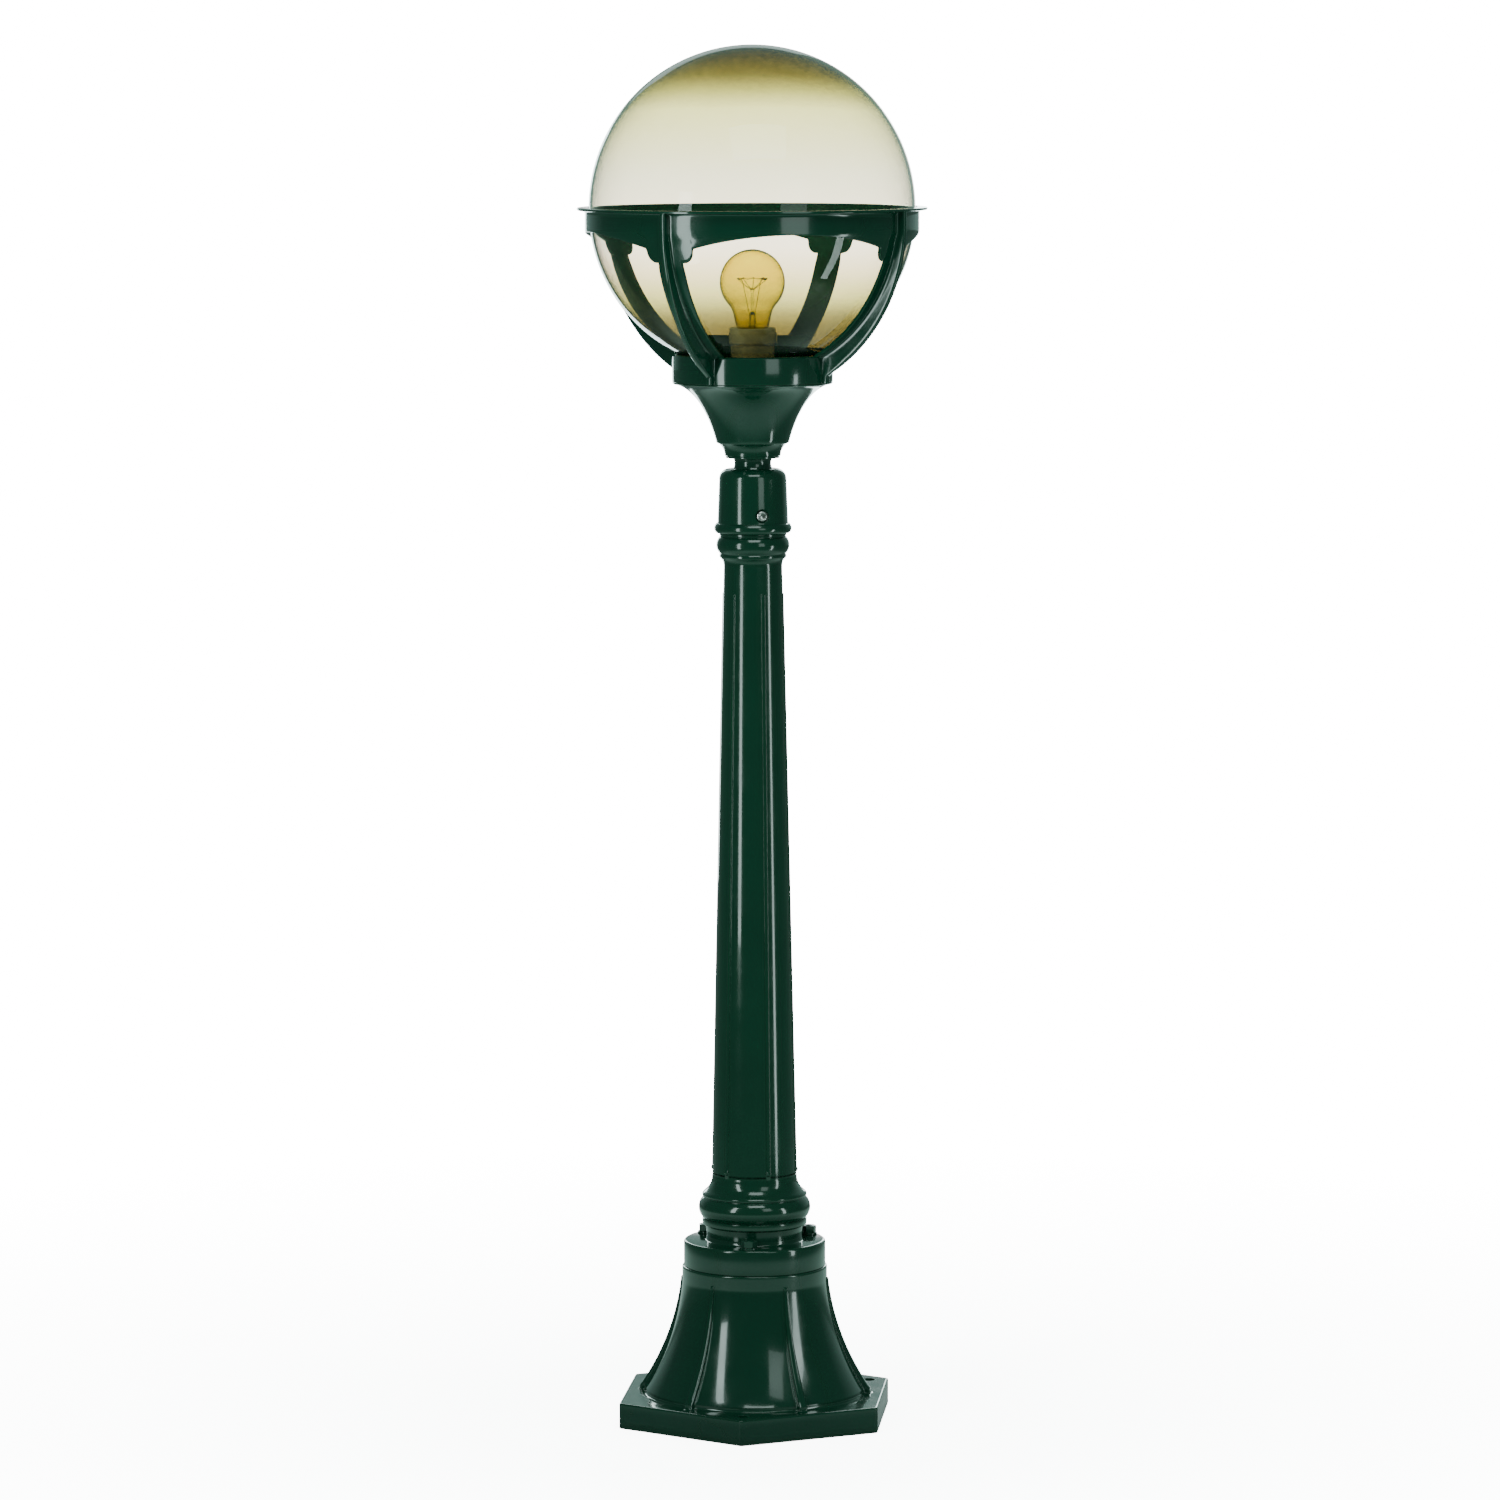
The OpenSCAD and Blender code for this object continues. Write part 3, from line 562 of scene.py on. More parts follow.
def hexagon_radius(angle, inset):
    """Distance from the axis to the plate's outline, drawn in by an inset."""
    apothem = PLATE_FLATS / 2
    r = PLATE_CORNER_R - min(inset, PLATE_CORNER_R - 0.5)
    centre = (apothem - PLATE_CORNER_R) / cos(radians(30))
    off = radians((angle + 30) % 60 - 30)
    if abs(off) < atan2(r / 2, centre + r * cos(radians(30))):
        return centre * cos(off) + sqrt(r * r - (centre * sin(off)) ** 2)
    return (apothem - PLATE_CORNER_R + r) / cos(radians(30) - abs(off))


def base_columns():
    """Columns round the bell and plate, closer together at the plate's corners."""
    near_corner = (0.0, 0.004, 0.008, 0.011, 0.014, 0.017, 0.024, 0.045, 0.08)
    shares = {0.5 + side * d for side in (-1, 1) for d in near_corner}
    for k in range(6):
        shares |= {0.08 + 0.068 * k, 0.92 - 0.068 * k}
    return rib_columns(sorted(shares))


def bell_rib_half(z):
    t = (z - PLATE_H) / (BELL_RIB_TOP - PLATE_H)
    return BELL_RIB_FOOT_HALF + (BELL_RIB_TOP_HALF - BELL_RIB_FOOT_HALF) * min(1, t)


def bell_rib_height(z):
    """How proud a bell rib stands: less towards its top, where it ends in a soft step."""
    t = min(1, max(0, (BELL_RIB_TOP - z) / (BELL_RIB_TOP - PLATE_H)))
    full = BELL_RIB_TOP_H + (BELL_RIB_FOOT_H - BELL_RIB_TOP_H) * t ** 1.25
    return full * smooth((BELL_RIB_TOP + 0.6 - z) / 1.8)


def bell_rows(add, roof):
    """Up through the cable hole, over the bell's top and down its ribs to the plate."""
    for r, z in ((CABLE_HOLE_R, roof), (CABLE_HOLE_R, BELL_TOP - 0.6), (CABLE_HOLE_R + 0.6, BELL_TOP)):
        add(r, z, 1.0)
    for r in (35, 50, BELL_NECK_R - 2):
        add(r, BELL_TOP, r / 38)
    for r, z in arc((BELL_NECK_R - 1.7, BELL_TOP), (BELL_NECK_R, BELL_TOP - 1.7), -0.5, 6):
        add(r, z, BELL_RIB_TOP_HALF)
    flare = arc_radius((BELL_FOOT_R, PLATE_H + 4), (BELL_NECK_R, BELL_FLARE_TOP), -BELL_FLARE_SAG)
    heights = [141, 138, 135.5, 133.6]
    heights += [BELL_RIB_TOP + 0.6 - 0.3 * k for k in range(9)]
    heights += [BELL_FLARE_TOP - 2.6 * k for k in range(39)]
    for z in heights:
        add(flare(z), z, bell_rib_half(z), bell_rib_height(z))
    for out, up, fade in (
        (0, 4.4, 1), (0, 2.4, 1), (0.15, 1.4, 1), (0.5, 0.7, 1), (1.0, 0.2, 1.02), (1.8, 0, 1.1),
    ):
        add(BELL_FOOT_R + out, PLATE_H + up, BELL_RIB_FOOT_HALF * fade, BELL_RIB_FOOT_H * fade)


def plate_rows(add):
    """Out over the plate's top, round its edge and down its side."""
    wide = 4.5
    foot = BELL_FOOT_R + 2.4
    for t in (0.42, 0.62, 0.8, 0.92, 1.0):
        add(lambda angle: foot + (hexagon_radius(angle, PLATE_EDGE_R) - foot) * t, PLATE_H, wide)
    edge = []
    for k in range(1, 6):
        a = radians(90 * k / 5)
        edge.append((PLATE_EDGE_R * (1 - sin(a)), PLATE_H - PLATE_EDGE_R * (1 - cos(a))))
    for inset, z in edge + [(0, 16), (0, 8), (0, 1), (0.3, 0.3), (1, 0)]:
        add(lambda angle: hexagon_radius(angle, inset), z, wide)


def cavity_rows(add, roof):
    """From the plate's underside up the hollow bell to its roof."""
    add(BELL_CAVITY_R + 1, 0, 3.2)
    add(BELL_CAVITY_R, 1, 3.2)
    wall = [(BELL_CAVITY_R, PLATE_H)]
    wall += arc((BELL_CAVITY_R, PLATE_H + 1), (BELL_CAVITY_TOP_R, roof - 7), -6.2, 16)
    for r, z in wall:
        add(r, z, r / 32)
    for r, z in arc((BELL_CAVITY_TOP_R, roof - 4), (60, roof), 0.9, 5):
        add(r, z, 1.9)
    add(40, roof, 1.2)


def base_casting():
    columns = base_columns()
    rows = []

    def add(radius, z, half_width, height=0):
        rows.append(ribbed_row(columns, BELL_RIB_ANGLES, radius, z, half_width, height))

    roof = BELL_TOP - BELL_ROOF
    bell_rows(add, roof)
    plate_rows(add)
    cavity_rows(add, roof)
    drill = [(0, -2), (ANCHOR_R, -2), (ANCHOR_R, PLATE_H - 0.7)]
    drill += [(ANCHOR_R + 3, PLATE_H + 2.3), (0, PLATE_H + 6)]
    holes = [moved(lathe(drill, 40), outward(a, ANCHOR_CIRCLE_R, 0)) for a in ANCHOR_ANGLES]
    whole = shells("base_casting_body", [rows], loop=True)
    mesh = combined("base_casting_body", whole, shells("drills", holes), "DIFFERENCE")
    casting("base_casting_body", mesh, "post", ["base_casting"])


# ---- column

SHAFT_FOOT_R = 39.2
SHAFT_TOP_R = 27.0
SHAFT_RIB_W = 3.5
SHAFT_RIB_H = 1.0
SOCKET_R = 35.1
SOCKET_DEPTH = 26
SPIGOT_BORE_R = 24.2


def column_foot():
    t = FLANGE_TOP
    ring = t + 15
    bulge = ring + 6
    outline = rounded([
        (30, BELL_TOP), (FLANGE_R, BELL_TOP, 0.7), (FLANGE_R, t, 2.6), (45.2, t, 1.6),
        (44.7, t + 4, 1), (45.6, ring - 1.2, 0.8), (48.6, ring, 1.1), (48.6, ring + 5.4, 0.7),
        (47.6, bulge - 0.2),
    ], 4)
    outline += arc((47.8, bulge), (47.8, bulge + 19.3), 4.2, 18)
    outline += rounded([
        (47.7, bulge + 19.4), (47.4, bulge + 19.9, 0.4), (48.6, bulge + 20.9, 0.7),
        (48.6, bulge + 22.6, 0.9), (47.6, bulge + 23.8),
    ], 4)
    outline += arc((47.0, bulge + 24.4), (SHAFT_FOOT_R + 0.3, SHAFT_BOTTOM - 1.2), -2.0, 10)
    outline += [(SHAFT_FOOT_R, SHAFT_BOTTOM), (SOCKET_R, SHAFT_BOTTOM)]
    outline += [(r, SHAFT_BOTTOM - SOCKET_DEPTH) for r in (SOCKET_R, 30)]
    turned_casting("column_foot_casting", outline, "post", "column_foot")


def column_shaft():
    columns = rib_columns([k / 11 for k in range(1, 11)])
    rib_bottom = SHAFT_BOTTOM + 3.5
    rib_top = SHAFT_TOP - 25

    def radius(z):
        t = (z - SHAFT_BOTTOM) / (SHAFT_TOP - SHAFT_BOTTOM)
        return SHAFT_FOOT_R + (SHAFT_TOP_R - SHAFT_FOOT_R) * t

    def bump(z):
        """1 at the small round bump that ends the rib at its foot, and 0 away from it."""
        return smooth(1 - abs(z - rib_bottom - 2.2) / 2.6)

    def height(z):
        rise = smooth((z - rib_bottom + 1.6) / 2.4)
        fall = smooth((rib_top + 0.5 - z) / 1.2)
        return SHAFT_RIB_H * rise * fall * (1 + 0.9 * bump(z))

    def half_width(z):
        return SHAFT_RIB_W / 2 * (1 + 0.22 * bump(z))

    heights = [SHAFT_BOTTOM, SHAFT_BOTTOM + 3]
    heights += [rib_bottom - 2 + 0.5 * k for k in range(15)]
    heights += [rib_bottom + 12 + (rib_top - rib_bottom - 20) * k / 40 for k in range(41)]
    heights += [rib_top - 3, rib_top - 1.5] + [rib_top - 1 + 0.3 * k for k in range(7)]
    heights += [rib_top + 5, SHAFT_TOP - 8, SHAFT_TOP]
    rows = []

    def add(r, z, half, rib=0):
        rows.append(ribbed_row(columns, SHAFT_RIB_ANGLES, r, z, half, rib))

    tenon = SHAFT_BOTTOM - SOCKET_DEPTH + 0.5
    for r, z in ((31, tenon), (SOCKET_R - 0.2, tenon), (SOCKET_R - 0.2, SHAFT_BOTTOM)):
        add(r, z, 1.7)
    for z in heights:
        add(radius(z), z, half_width(z), height(z))
    add(23, SHAFT_TOP, 1.2)
    mesh = shells("column_shaft_casting", [rows], loop=True)
    casting("column_shaft_casting", mesh, "post", ["column_shaft"])


def column_capital():
    t = SHAFT_TOP
    outline = [(SHAFT_TOP_R, t)]
    outline += arc((SHAFT_TOP_R + 0.1, t + 0.6), (30.3, t + 7.6), -0.9, 7)
    outline += rounded([
        (30.4, t + 7.9), (30.9, t + 8.4, 0.5), (30.9, t + 10.2, 0.6), (30.5, t + 11),
    ], 4)
    outline += arc((30.7, t + 11.6), (30.7, HEAD_Z - 3.4), 3.1, 16)
    outline += rounded([
        (30.7, HEAD_Z - 3.2), (30.4, HEAD_Z - 2.6, 0.4), (30.9, HEAD_Z - 2, 0.4),
        (30.9, HEAD_Z - 0.3, 0.3), (30.4, HEAD_Z), (SPIGOT_BORE_R, HEAD_Z),
        (SPIGOT_BORE_R, t + 3), (19, t + 3), (19, t - 20), (22.9, t - 20), (22.9, t),
    ], 4)
    turned_casting("column_capital_casting", outline, "post", "column_capital")


# ---- fasteners

M8_FLATS = 13
M8_WASHER_H = 1.6
M8_NUT_H = 6.8
M8_PITCH = 1.25
M8_HEAD_H = 5.3
SET_SCREW_FOOT_R = 24.5
SET_SCREW_LENGTH = 8.0
SET_SCREW_PITCH = 1.5
SET_SCREW_SOCKET = 5
FASTENER_SEGMENTS = 72
HEX_CHAMFER = 0.475


def hex_row(flats, z, chamfer=0):
    """A hexagonal row. With a chamfer of 1 its corners fall below z, and with -1 they rise."""
    row = []
    for k in range(FASTENER_SEGMENTS):
        angle = 360 * k / FASTENER_SEGMENTS
        r = flats / 2 / cos(radians((angle + 30) % 60 - 30))
        drop = max(0.0, r - HEX_CHAMFER * flats) * tan(radians(30))
        row.append(polar(r, angle, z - chamfer * drop))
    return row


def rings(*places):
    return [circle(r, z, FASTENER_SEGMENTS) for r, z in places]


def nut_rows(flats, height, bore):
    face_r = HEX_CHAMFER * flats
    rows = rings((bore, 0.6), (bore + 0.6, 0), (face_r, 0))
    rows += [hex_row(flats, 0, -1), hex_row(flats, height, 1)]
    return rows + rings((face_r, height), (bore + 0.6, height), (bore, height - 0.6))


def thread_rows(radius, pitch, z0, z1, depth=0.6):
    """Rows of a helical V thread; one row in eight parts of a turn."""
    rows = []
    count = int((z1 - z0) / pitch * 8)
    for i in range(count + 1):
        z = z0 + (z1 - z0) * i / count
        fade = min(1, (z1 - z) / pitch + 0.15)
        row = []
        for k in range(FASTENER_SEGMENTS):
            share = k / FASTENER_SEGMENTS
            turn = (z / pitch - share) % 1
            row.append(polar(radius - depth * abs(2 * turn - 1) * fade, 360 * share, z))
        rows.append(row)
    return rows


def flange_fasteners():
    top = FLANGE_TOP
    base = top + M8_WASHER_H
    bolt_end = high("flange_bolts")
    head_low = low("flange_bolts")
    head_top = head_low + M8_HEAD_H
    washer = rounded([
        (4.3, top + 0.1), (WASHER_R, top, 0.25), (WASHER_R, base, 0.35), (4.3, base, 0.2),
        (4.3, top + 0.2),
    ], 3)
    bolt = rings((0, head_low), (HEX_CHAMFER * M8_FLATS, head_low))
    bolt += [hex_row(M8_FLATS, head_low, -1), hex_row(M8_FLATS, head_top)]
    bolt += rings((4, head_top), (4, base))
    bolt += thread_rows(4, M8_PITCH, base + 0.2, bolt_end - 0.5)
    bolt += rings((3.2, bolt_end - 0.1), (2.6, bolt_end), (0, bolt_end))
    nut = moved(nut_rows(M8_FLATS, M8_NUT_H, 3.95), Matrix.Translation((0, 0, base * MM)))
    washers = []
    nuts = []
    bolts = []
    for index, a in enumerate(ANCHOR_ANGLES):
        spot = outward(a, BOLT_CIRCLE_R, 0)
        spun = spot @ rotation(17 * index, "Z")
        washers.append(moved(lathe(washer, FASTENER_SEGMENTS), spot))
        nuts.append(moved(nut, spun))
        bolts.append(moved(bolt, spun))
    for name, parts, slot, node in (
        ("flange_washer_set", washers, "green_steel", "flange_washers"),
        ("flange_nut_set", nuts, "green_steel", "flange_nuts"),
        ("flange_bolt_set", bolts, "galvanised", "flange_bolts"),
    ):
        mesh = shells(name, parts, loop=parts is not bolts)
        finish_object(name, mesh, GREEN, "post", [node])


def set_screws():
    """Cup point set screws with hexagon sockets, their outer ends just proud of the sleeve."""
    end = SET_SCREW_LENGTH
    screw = rings((0, 1.2), (2.2, 0.0), (3.4, 0.0))
    screw += thread_rows(5, SET_SCREW_PITCH, 0.6, end - 1.2, depth=0.8)
    screw += rings((4.9, end - 0.9), (4.2, end - 0.15), (3.9, end), (3.2, end))
    screw += [hex_row(SET_SCREW_SOCKET, end - 0.25), hex_row(SET_SCREW_SOCKET, end - 4)]
    screw += rings((1.2, end - 4.4), (0, end - 4.6))
    spots = [sideways(a, SET_SCREW_FOOT_R, SET_SCREW_Z) for a in SET_SCREW_ANGLES]
    mesh = shells("set_screw_set", [moved(screw, spot) for spot in spots])
    finish_object("set_screw_set", mesh, STEEL, "head", ["set_screws"], sharp=28)


# ---- head

NECK_R = 17
STEM_HOLE_R = 8.1
SLEEVE_BORE_R = 24.25
CUP_MOUTH_R = 50.5


def head_sleeve():
    outline = rounded([(SLEEVE_BORE_R, HEAD_Z), (33.6, HEAD_Z, 0.6), (34.6, HEAD_Z + 0.9)], 3)
    outline += arc((34.7, HEAD_Z + 1.0), (34.7, HEAD_Z + 7.8), 1.1, 10)
    outline += rounded([(34.2, HEAD_Z + 8.5), (33.0, HEAD_Z + 8.9, 0.5), (32.6, HEAD_Z + 10.2)], 3)
    outline += [(31.1, SLEEVE_TOP - 9.6)]
    outline += arc((31.0, SLEEVE_TOP - 8.4), (19.4, SLEEVE_TOP - 0.2), 3.3, 18)
    outline += rounded([
        (19.0, SLEEVE_TOP), (STEM_HOLE_R, SLEEVE_TOP), (STEM_HOLE_R, SLEEVE_TOP - 12.5),
        (SLEEVE_BORE_R, SLEEVE_TOP - 12.5), (SLEEVE_BORE_R, HEAD_Z + 0.5),
    ])
    blank = shells("head_sleeve_blank", [lathe(outline)], loop=True)
    drill = [(0, 0), (5.15, 0), (5.15, 8.05), (6.6, 9.5), (6.6, 14), (0, 14)]
    holes = [moved(lathe(drill, 48), sideways(a, 22, SET_SCREW_Z)) for a in SET_SCREW_ANGLES]
    mesh = combined("head_sleeve_casting", blank, shells("drills", holes), "DIFFERENCE")
    casting("head_sleeve_casting", mesh, "head", ["head_sleeve"])


def neck_spacer():
    outline = [(STEM_HOLE_R, SLEEVE_TOP)]
    outline += arc((NECK_R + 1.2, SLEEVE_TOP + 0.1), (NECK_R + 1.2, CUP_BOTTOM - 0.1), -1.3, 12)
    outline += [(STEM_HOLE_R, CUP_BOTTOM)]
    turned_casting("neck_casting", outline, "head", "neck_spacer", 96)


def cup():
    b = CUP_BOTTOM
    step = b + 14.5
    top = BASKET_Z
    outline = rounded([(STEM_HOLE_R, b), (24.9, b, 0.5), (24.9, b + 1.7, 0.4), (25.6, b + 2.2)], 3)
    outline += arc((25.9, b + 2.5), (31.2, step - 1.3), -1.4, 10)
    outline += rounded([(31.5, step - 1.1), (32.4, step - 1.0, 0.3), (33.3, step - 0.4, 0.3)], 3)
    outline += bezier((33.7, step + 0.3), (39.7, step + 25), (54, top - 4.5), (72.6, top - 1.9), 30)
    outline += rounded([
        (73.0, top - 1.7), (73.7, top - 1.2, 0.4), (73.7, top - 0.3, 0.2), (73.3, top),
        (CUP_MOUTH_R, top), (CUP_MOUTH_R, top - 7),
    ], 3)
    inside = bezier((30.2, b + 14), (36.2, step + 24), (46.5, top - 12), (50.4, top - 7.2), 14)
    outline += inside[::-1]
    outline += [(28.2, b + 11.5), (STEM_HOLE_R, b + 11.5)]
    turned_casting("cup_casting", outline, "head", "cup")


# ---- basket

SKIN_IN = GLOBE_R + 1
SKIN_OUT = GLOBE_R + 4
BAND_R = GLOBE_R + 3.6
BAND_LOW = GLOBE_Z - 21
ARCH_TOP = GLOBE_Z - 20
NOTCH_Z = GLOBE_Z - 32.5
ARM_TOP = GLOBE_Z - 45.5
ARM_HALF = 13
FIN_R = 161.2
FIN_CENTRE = GLOBE_Z - 11
FIN_FOOT_R = 80
COLLAR_R = 74
COLLAR_WALL = 3.5
CUSP_LIP = 1.5
CUSP_OUT = 11.4
CUSP_RISE = 10.5
ARCH_START = CUSP_OUT + 0.9
GAP_SPAN = radians(90) * BAND_R - 2 * ARM_HALF
BAND_ROWS = 12
ARM_ROWS = 34
FLANGE_LOW = RIM_TOP - 2.5

FIN_SECTION = (
    (0.0, 1.0), (1.2, 1.0), (1.75, 0.985), (2.15, 0.95), (2.4, 0.88), (2.5, 0.76), (2.62, 0.30),
    (2.8, 0.12), (3.2, 0.04), (3.9, 0.0),
)
RIM_PROFILE = (
    (SKIN_IN + 0.1, RIM_TOP - 0.5), (SKIN_IN + 0.6, RIM_TOP), (RIM_R - 0.8, RIM_TOP),
    (RIM_R - 0.2, RIM_TOP - 0.3), (RIM_R, RIM_TOP - 1.2), (RIM_R - 0.15, RIM_TOP - 2.1),
)
UNDER_RIM = ((RIM_R - BAND_R - 1.0, 0.05), (1.3, 0.25), (0.5, 0.8), (0.2, 1.7))


def sphere_radius(r, z):
    return sqrt(max(1.0, r * r - (GLOBE_Z - z) ** 2))


def outer_radius(z):
    """The casting's outer skin: a straight band above, and a sphere below it."""
    ball = sphere_radius(SKIN_OUT, z)
    blend = smooth((z - (BAND_LOW - 7)) / 10)
    skin = ball + (BAND_R - ball) * blend
    inside_collar = smooth((COLLAR_TOP - z) / 4)
    return skin + (COLLAR_R - 0.4 - skin) * inside_collar


def inner_radius(z):
    ball = sphere_radius(SKIN_IN, z)
    inside_collar = smooth((COLLAR_TOP + 0.5 - z) / 3)
    return ball + (COLLAR_R - COLLAR_WALL + 0.6 - ball) * inside_collar


def fin_radius(z):
    return max(FIN_FOOT_R, sqrt(FIN_R ** 2 - (z - FIN_CENTRE) ** 2))


def lower_edge(s):
    """Height of the band's lower edge at s mm past the arm's side, round the skin."""
    half = GAP_SPAN / 2
    s = min(s, GAP_SPAN - s)
    if s <= CUSP_LIP:
        return ARM_TOP
    cusp_top = ARM_TOP + CUSP_RISE
    if s <= CUSP_OUT:
        t = (s - CUSP_LIP) / (CUSP_OUT - CUSP_LIP)
        return cusp_top - CUSP_RISE * sqrt(max(0, 1 - t * t))
    if s < ARCH_START:
        return cusp_top + (NOTCH_Z - cusp_top) * (s - CUSP_OUT) / (ARCH_START - CUSP_OUT)
    t = (s - half) / (half - ARCH_START)
    return NOTCH_Z + (ARCH_TOP - NOTCH_Z) * (1 - t * t)


def basket_columns():
    """Columns round the basket: y offsets across an arm, and mm past its side in a gap."""
    flat = {side * y for side in (-1, 1) for y in (6, 8.5, 11.5, ARM_HALF)}
    ys = sorted(flat | {side * y for side in (-1, 1) for y, _ in FIN_SECTION})
    turns = (0, 10, 20, 30, 40, 50, 60, 69, 78, 90)
    first = [CUSP_LIP + (CUSP_OUT - CUSP_LIP) * sin(radians(turn)) for turn in turns]
    first += [ARCH_START + (GAP_SPAN / 2 - ARCH_START) * k / 22 for k in range(23)]
    return ys, first + [GAP_SPAN - s for s in reversed(first[:-1])]


def basket_mesh():
    ys, gaps = basket_columns()
    bm = bmesh.new()
    columns = []
    for arm_angle in ARM_ANGLES:
        columns += [basket_column(bm, arm_angle, y, None) for y in ys]
        columns += [basket_column(bm, arm_angle, None, s) for s in gaps]
    join_columns(bm, columns)
    round_lower_edge(bm, lower_loop(columns, len(ys), len(gaps)), 0.3 * MM)
    return mesh_of("basket", bm)


def basket_column(bm, arm_angle, y, s):
    """Vertices of one column, down the outer skin and down the inner skin."""
    on_arm = y is not None
    lift = on_line(FIN_SECTION, abs(y)) if on_arm else 0
    bottom = ARM_TOP if on_arm else lower_edge(s)

    def at(r, z, skin=BAND_R):
        if on_arm:
            angle = arm_angle + degrees(asin(y / skin))
        else:
            angle = arm_angle + 45 + degrees((s - GAP_SPAN / 2) / BAND_R)
        return bm.verts.new(polar(r, angle, z))

    def finned(r, z):
        return r + (fin_radius(z) - r) * lift

    outer = [at(r, z) for r, z in RIM_PROFILE]
    for out, down in UNDER_RIM:
        r = BAND_R + out
        outer.append(at(max(r, finned(r, FLANGE_LOW - down)), FLANGE_LOW - down))
    inner = []
    top = FLANGE_LOW - 2.6
    for i in range(BAND_ROWS + 1):
        z = top + (bottom - top) * i / BAND_ROWS
        outer.append(at(finned(outer_radius(z), z), z))
        inner.append(at(inner_radius(z), z))
    if on_arm:
        end = BASKET_Z + 0.3
        for i in range(1, ARM_ROWS + 1):
            z = bottom + (end - bottom) * i / ARM_ROWS
            skin = outer_radius(z)
            width = BAND_R + (skin - BAND_R) * smooth(i / 3)
            outer.append(at(finned(skin, z), z, width))
            inner.append(at(inner_radius(z), z, width))
    return outer, inner


def join_columns(bm, columns):
    """Faces between neighbouring columns, on the outer skin, the inner skin and the rim."""
    for (out_a, in_a), (out_b, in_b) in zip(columns, columns[1:] + columns[:1]):
        for i in range(min(len(out_a), len(out_b)) - 1):
            bm.faces.new((out_a[i], out_b[i], out_b[i + 1], out_a[i + 1]))
        for i in range(min(len(in_a), len(in_b)) - 1):
            bm.faces.new((in_a[i], in_a[i + 1], in_b[i + 1], in_b[i]))
        bm.faces.new((out_a[0], in_a[0], in_b[0], out_b[0]))


def lower_loop(columns, arm_count, gap_count):
    """The whole lower boundary, as pairs of outer and inner vertices in order of angle."""
    loop = []
    for arm in range(4):
        first = arm * (arm_count + gap_count)
        arm_columns = columns[first:first + arm_count]
        gap_columns = columns[first + arm_count:first + arm_count + gap_count]
        rows = len(arm_columns[0][1]) - len(gap_columns[0][1])
        left, right = arm_columns[0], arm_columns[-1]
        loop += [(left[0][-k], left[1][-k]) for k in range(rows + 1, 0, -1)]
        loop += [(outer[-1], inner[-1]) for outer, inner in arm_columns[1:-1]]
        loop += [(right[0][-k], right[1][-k]) for k in range(1, rows + 2)]
        loop += [(outer[-1], inner[-1]) for outer, inner in gap_columns]
    return loop


def round_lower_edge(bm, loop, cut):
    """Closes the gap between the skins with a wall that has both its edges cut back."""
    spots = [(outer.co.copy(), inner.co.copy()) for outer, inner in loop]
    walls = []
    for k, (outer, inner) in enumerate(spots):
        through = (outer - inner).normalized()
        before = (outer - spots[k - 1][0]).normalized()
        after = (spots[(k + 1) % len(spots)][0] - outer).normalized()
        along = (before + after).normalized()
        inward = through.cross(along).normalized() * cut / max(0.6, along.dot(after))
        loop[k][0].co = outer + inward
        loop[k][1].co = inner + inward
        walls.append((bm.verts.new(outer - through * cut), bm.verts.new(inner + through * cut)))
    for k, ((outer, inner), (high_wall, low_wall)) in enumerate(zip(loop, walls)):
        n = (k + 1) % len(loop)
        bm.faces.new((outer, loop[n][0], walls[n][0], high_wall))
        bm.faces.new((high_wall, walls[n][0], walls[n][1], low_wall))
        bm.faces.new((low_wall, walls[n][1], loop[n][1], inner))


def basket():
    inside = COLLAR_R - COLLAR_WALL
    collar = rounded([
        (CUP_MOUTH_R, BASKET_Z), (COLLAR_R, BASKET_Z, 0.6), (COLLAR_R, COLLAR_TOP, 2.0),
        (inside, COLLAR_TOP, 0.8), (inside, BASKET_Z + 4, 1.0), (CUP_MOUTH_R, BASKET_Z + 4),
    ], 4)
    ring = shells("collar", [lathe(collar)], loop=True)
    mesh = combined("basket_casting", basket_mesh(), ring, "UNION")
    nodes = ["basket_rim", "basket_collar"] + [f"basket_arm_{k}" for k in range(1, 5)]
    casting("basket_casting", mesh, "head", nodes, sharp=38)


# ---- globe and lamp

def glass_piece(name, mesh, material, body, node):
    """Clear glass, which casts no shadow."""
    obj = finish_object(name, mesh, material, body, [node], sharp=60)
    obj.visible_shadow = False


GLOBE_WALL = 3.0
GLOBE_NECK_R = 68.0


def ball(r, neck):
    """The ball's outline from its crown down to where it turns into the neck."""
    last = pi - asin((neck + 2) / r)
    turns = [last * k / 96 for k in range(97)]
    return [(r * sin(a), GLOBE_Z + r * cos(a)) for a in turns]


def globe():
    neck_in = GLOBE_NECK_R - GLOBE_WALL
    bottom = low("globe")
    outer = ball(GLOBE_R, GLOBE_NECK_R)
    inner = ball(GLOBE_R - GLOBE_WALL, neck_in)
    outline = outer + rounded([
        (GLOBE_NECK_R + 0.4, outer[-1][1] - 0.9), (GLOBE_NECK_R, outer[-1][1] - 2.5),
        (GLOBE_NECK_R, bottom, 1.2), (neck_in, bottom, 1.2), (neck_in, inner[-1][1] - 2.5),
        (neck_in + 0.4, inner[-1][1] - 0.9),
    ]) + inner[::-1]
    mesh = shells("globe_glass_shell", [lathe(outline, 192)])
    glass_piece("globe_glass_shell", mesh, GLOBE_GLASS, "globe", "globe")


CAP_R = 13.1
CAP_TOP = CONTACT_Z + 27
BULB_R = 30.0
BULB_CENTRE = high("bulb_glass") - BULB_R
FILAMENT_Z = BULB_CENTRE + 3
FILAMENT_R = 13.0
COIL_R = 0.42
COIL_TURNS = 96
CAP_PITCH = 3.629
CAP_THREAD_DEPTH = 1.1
CAP_THREAD_LENGTH = 17.5


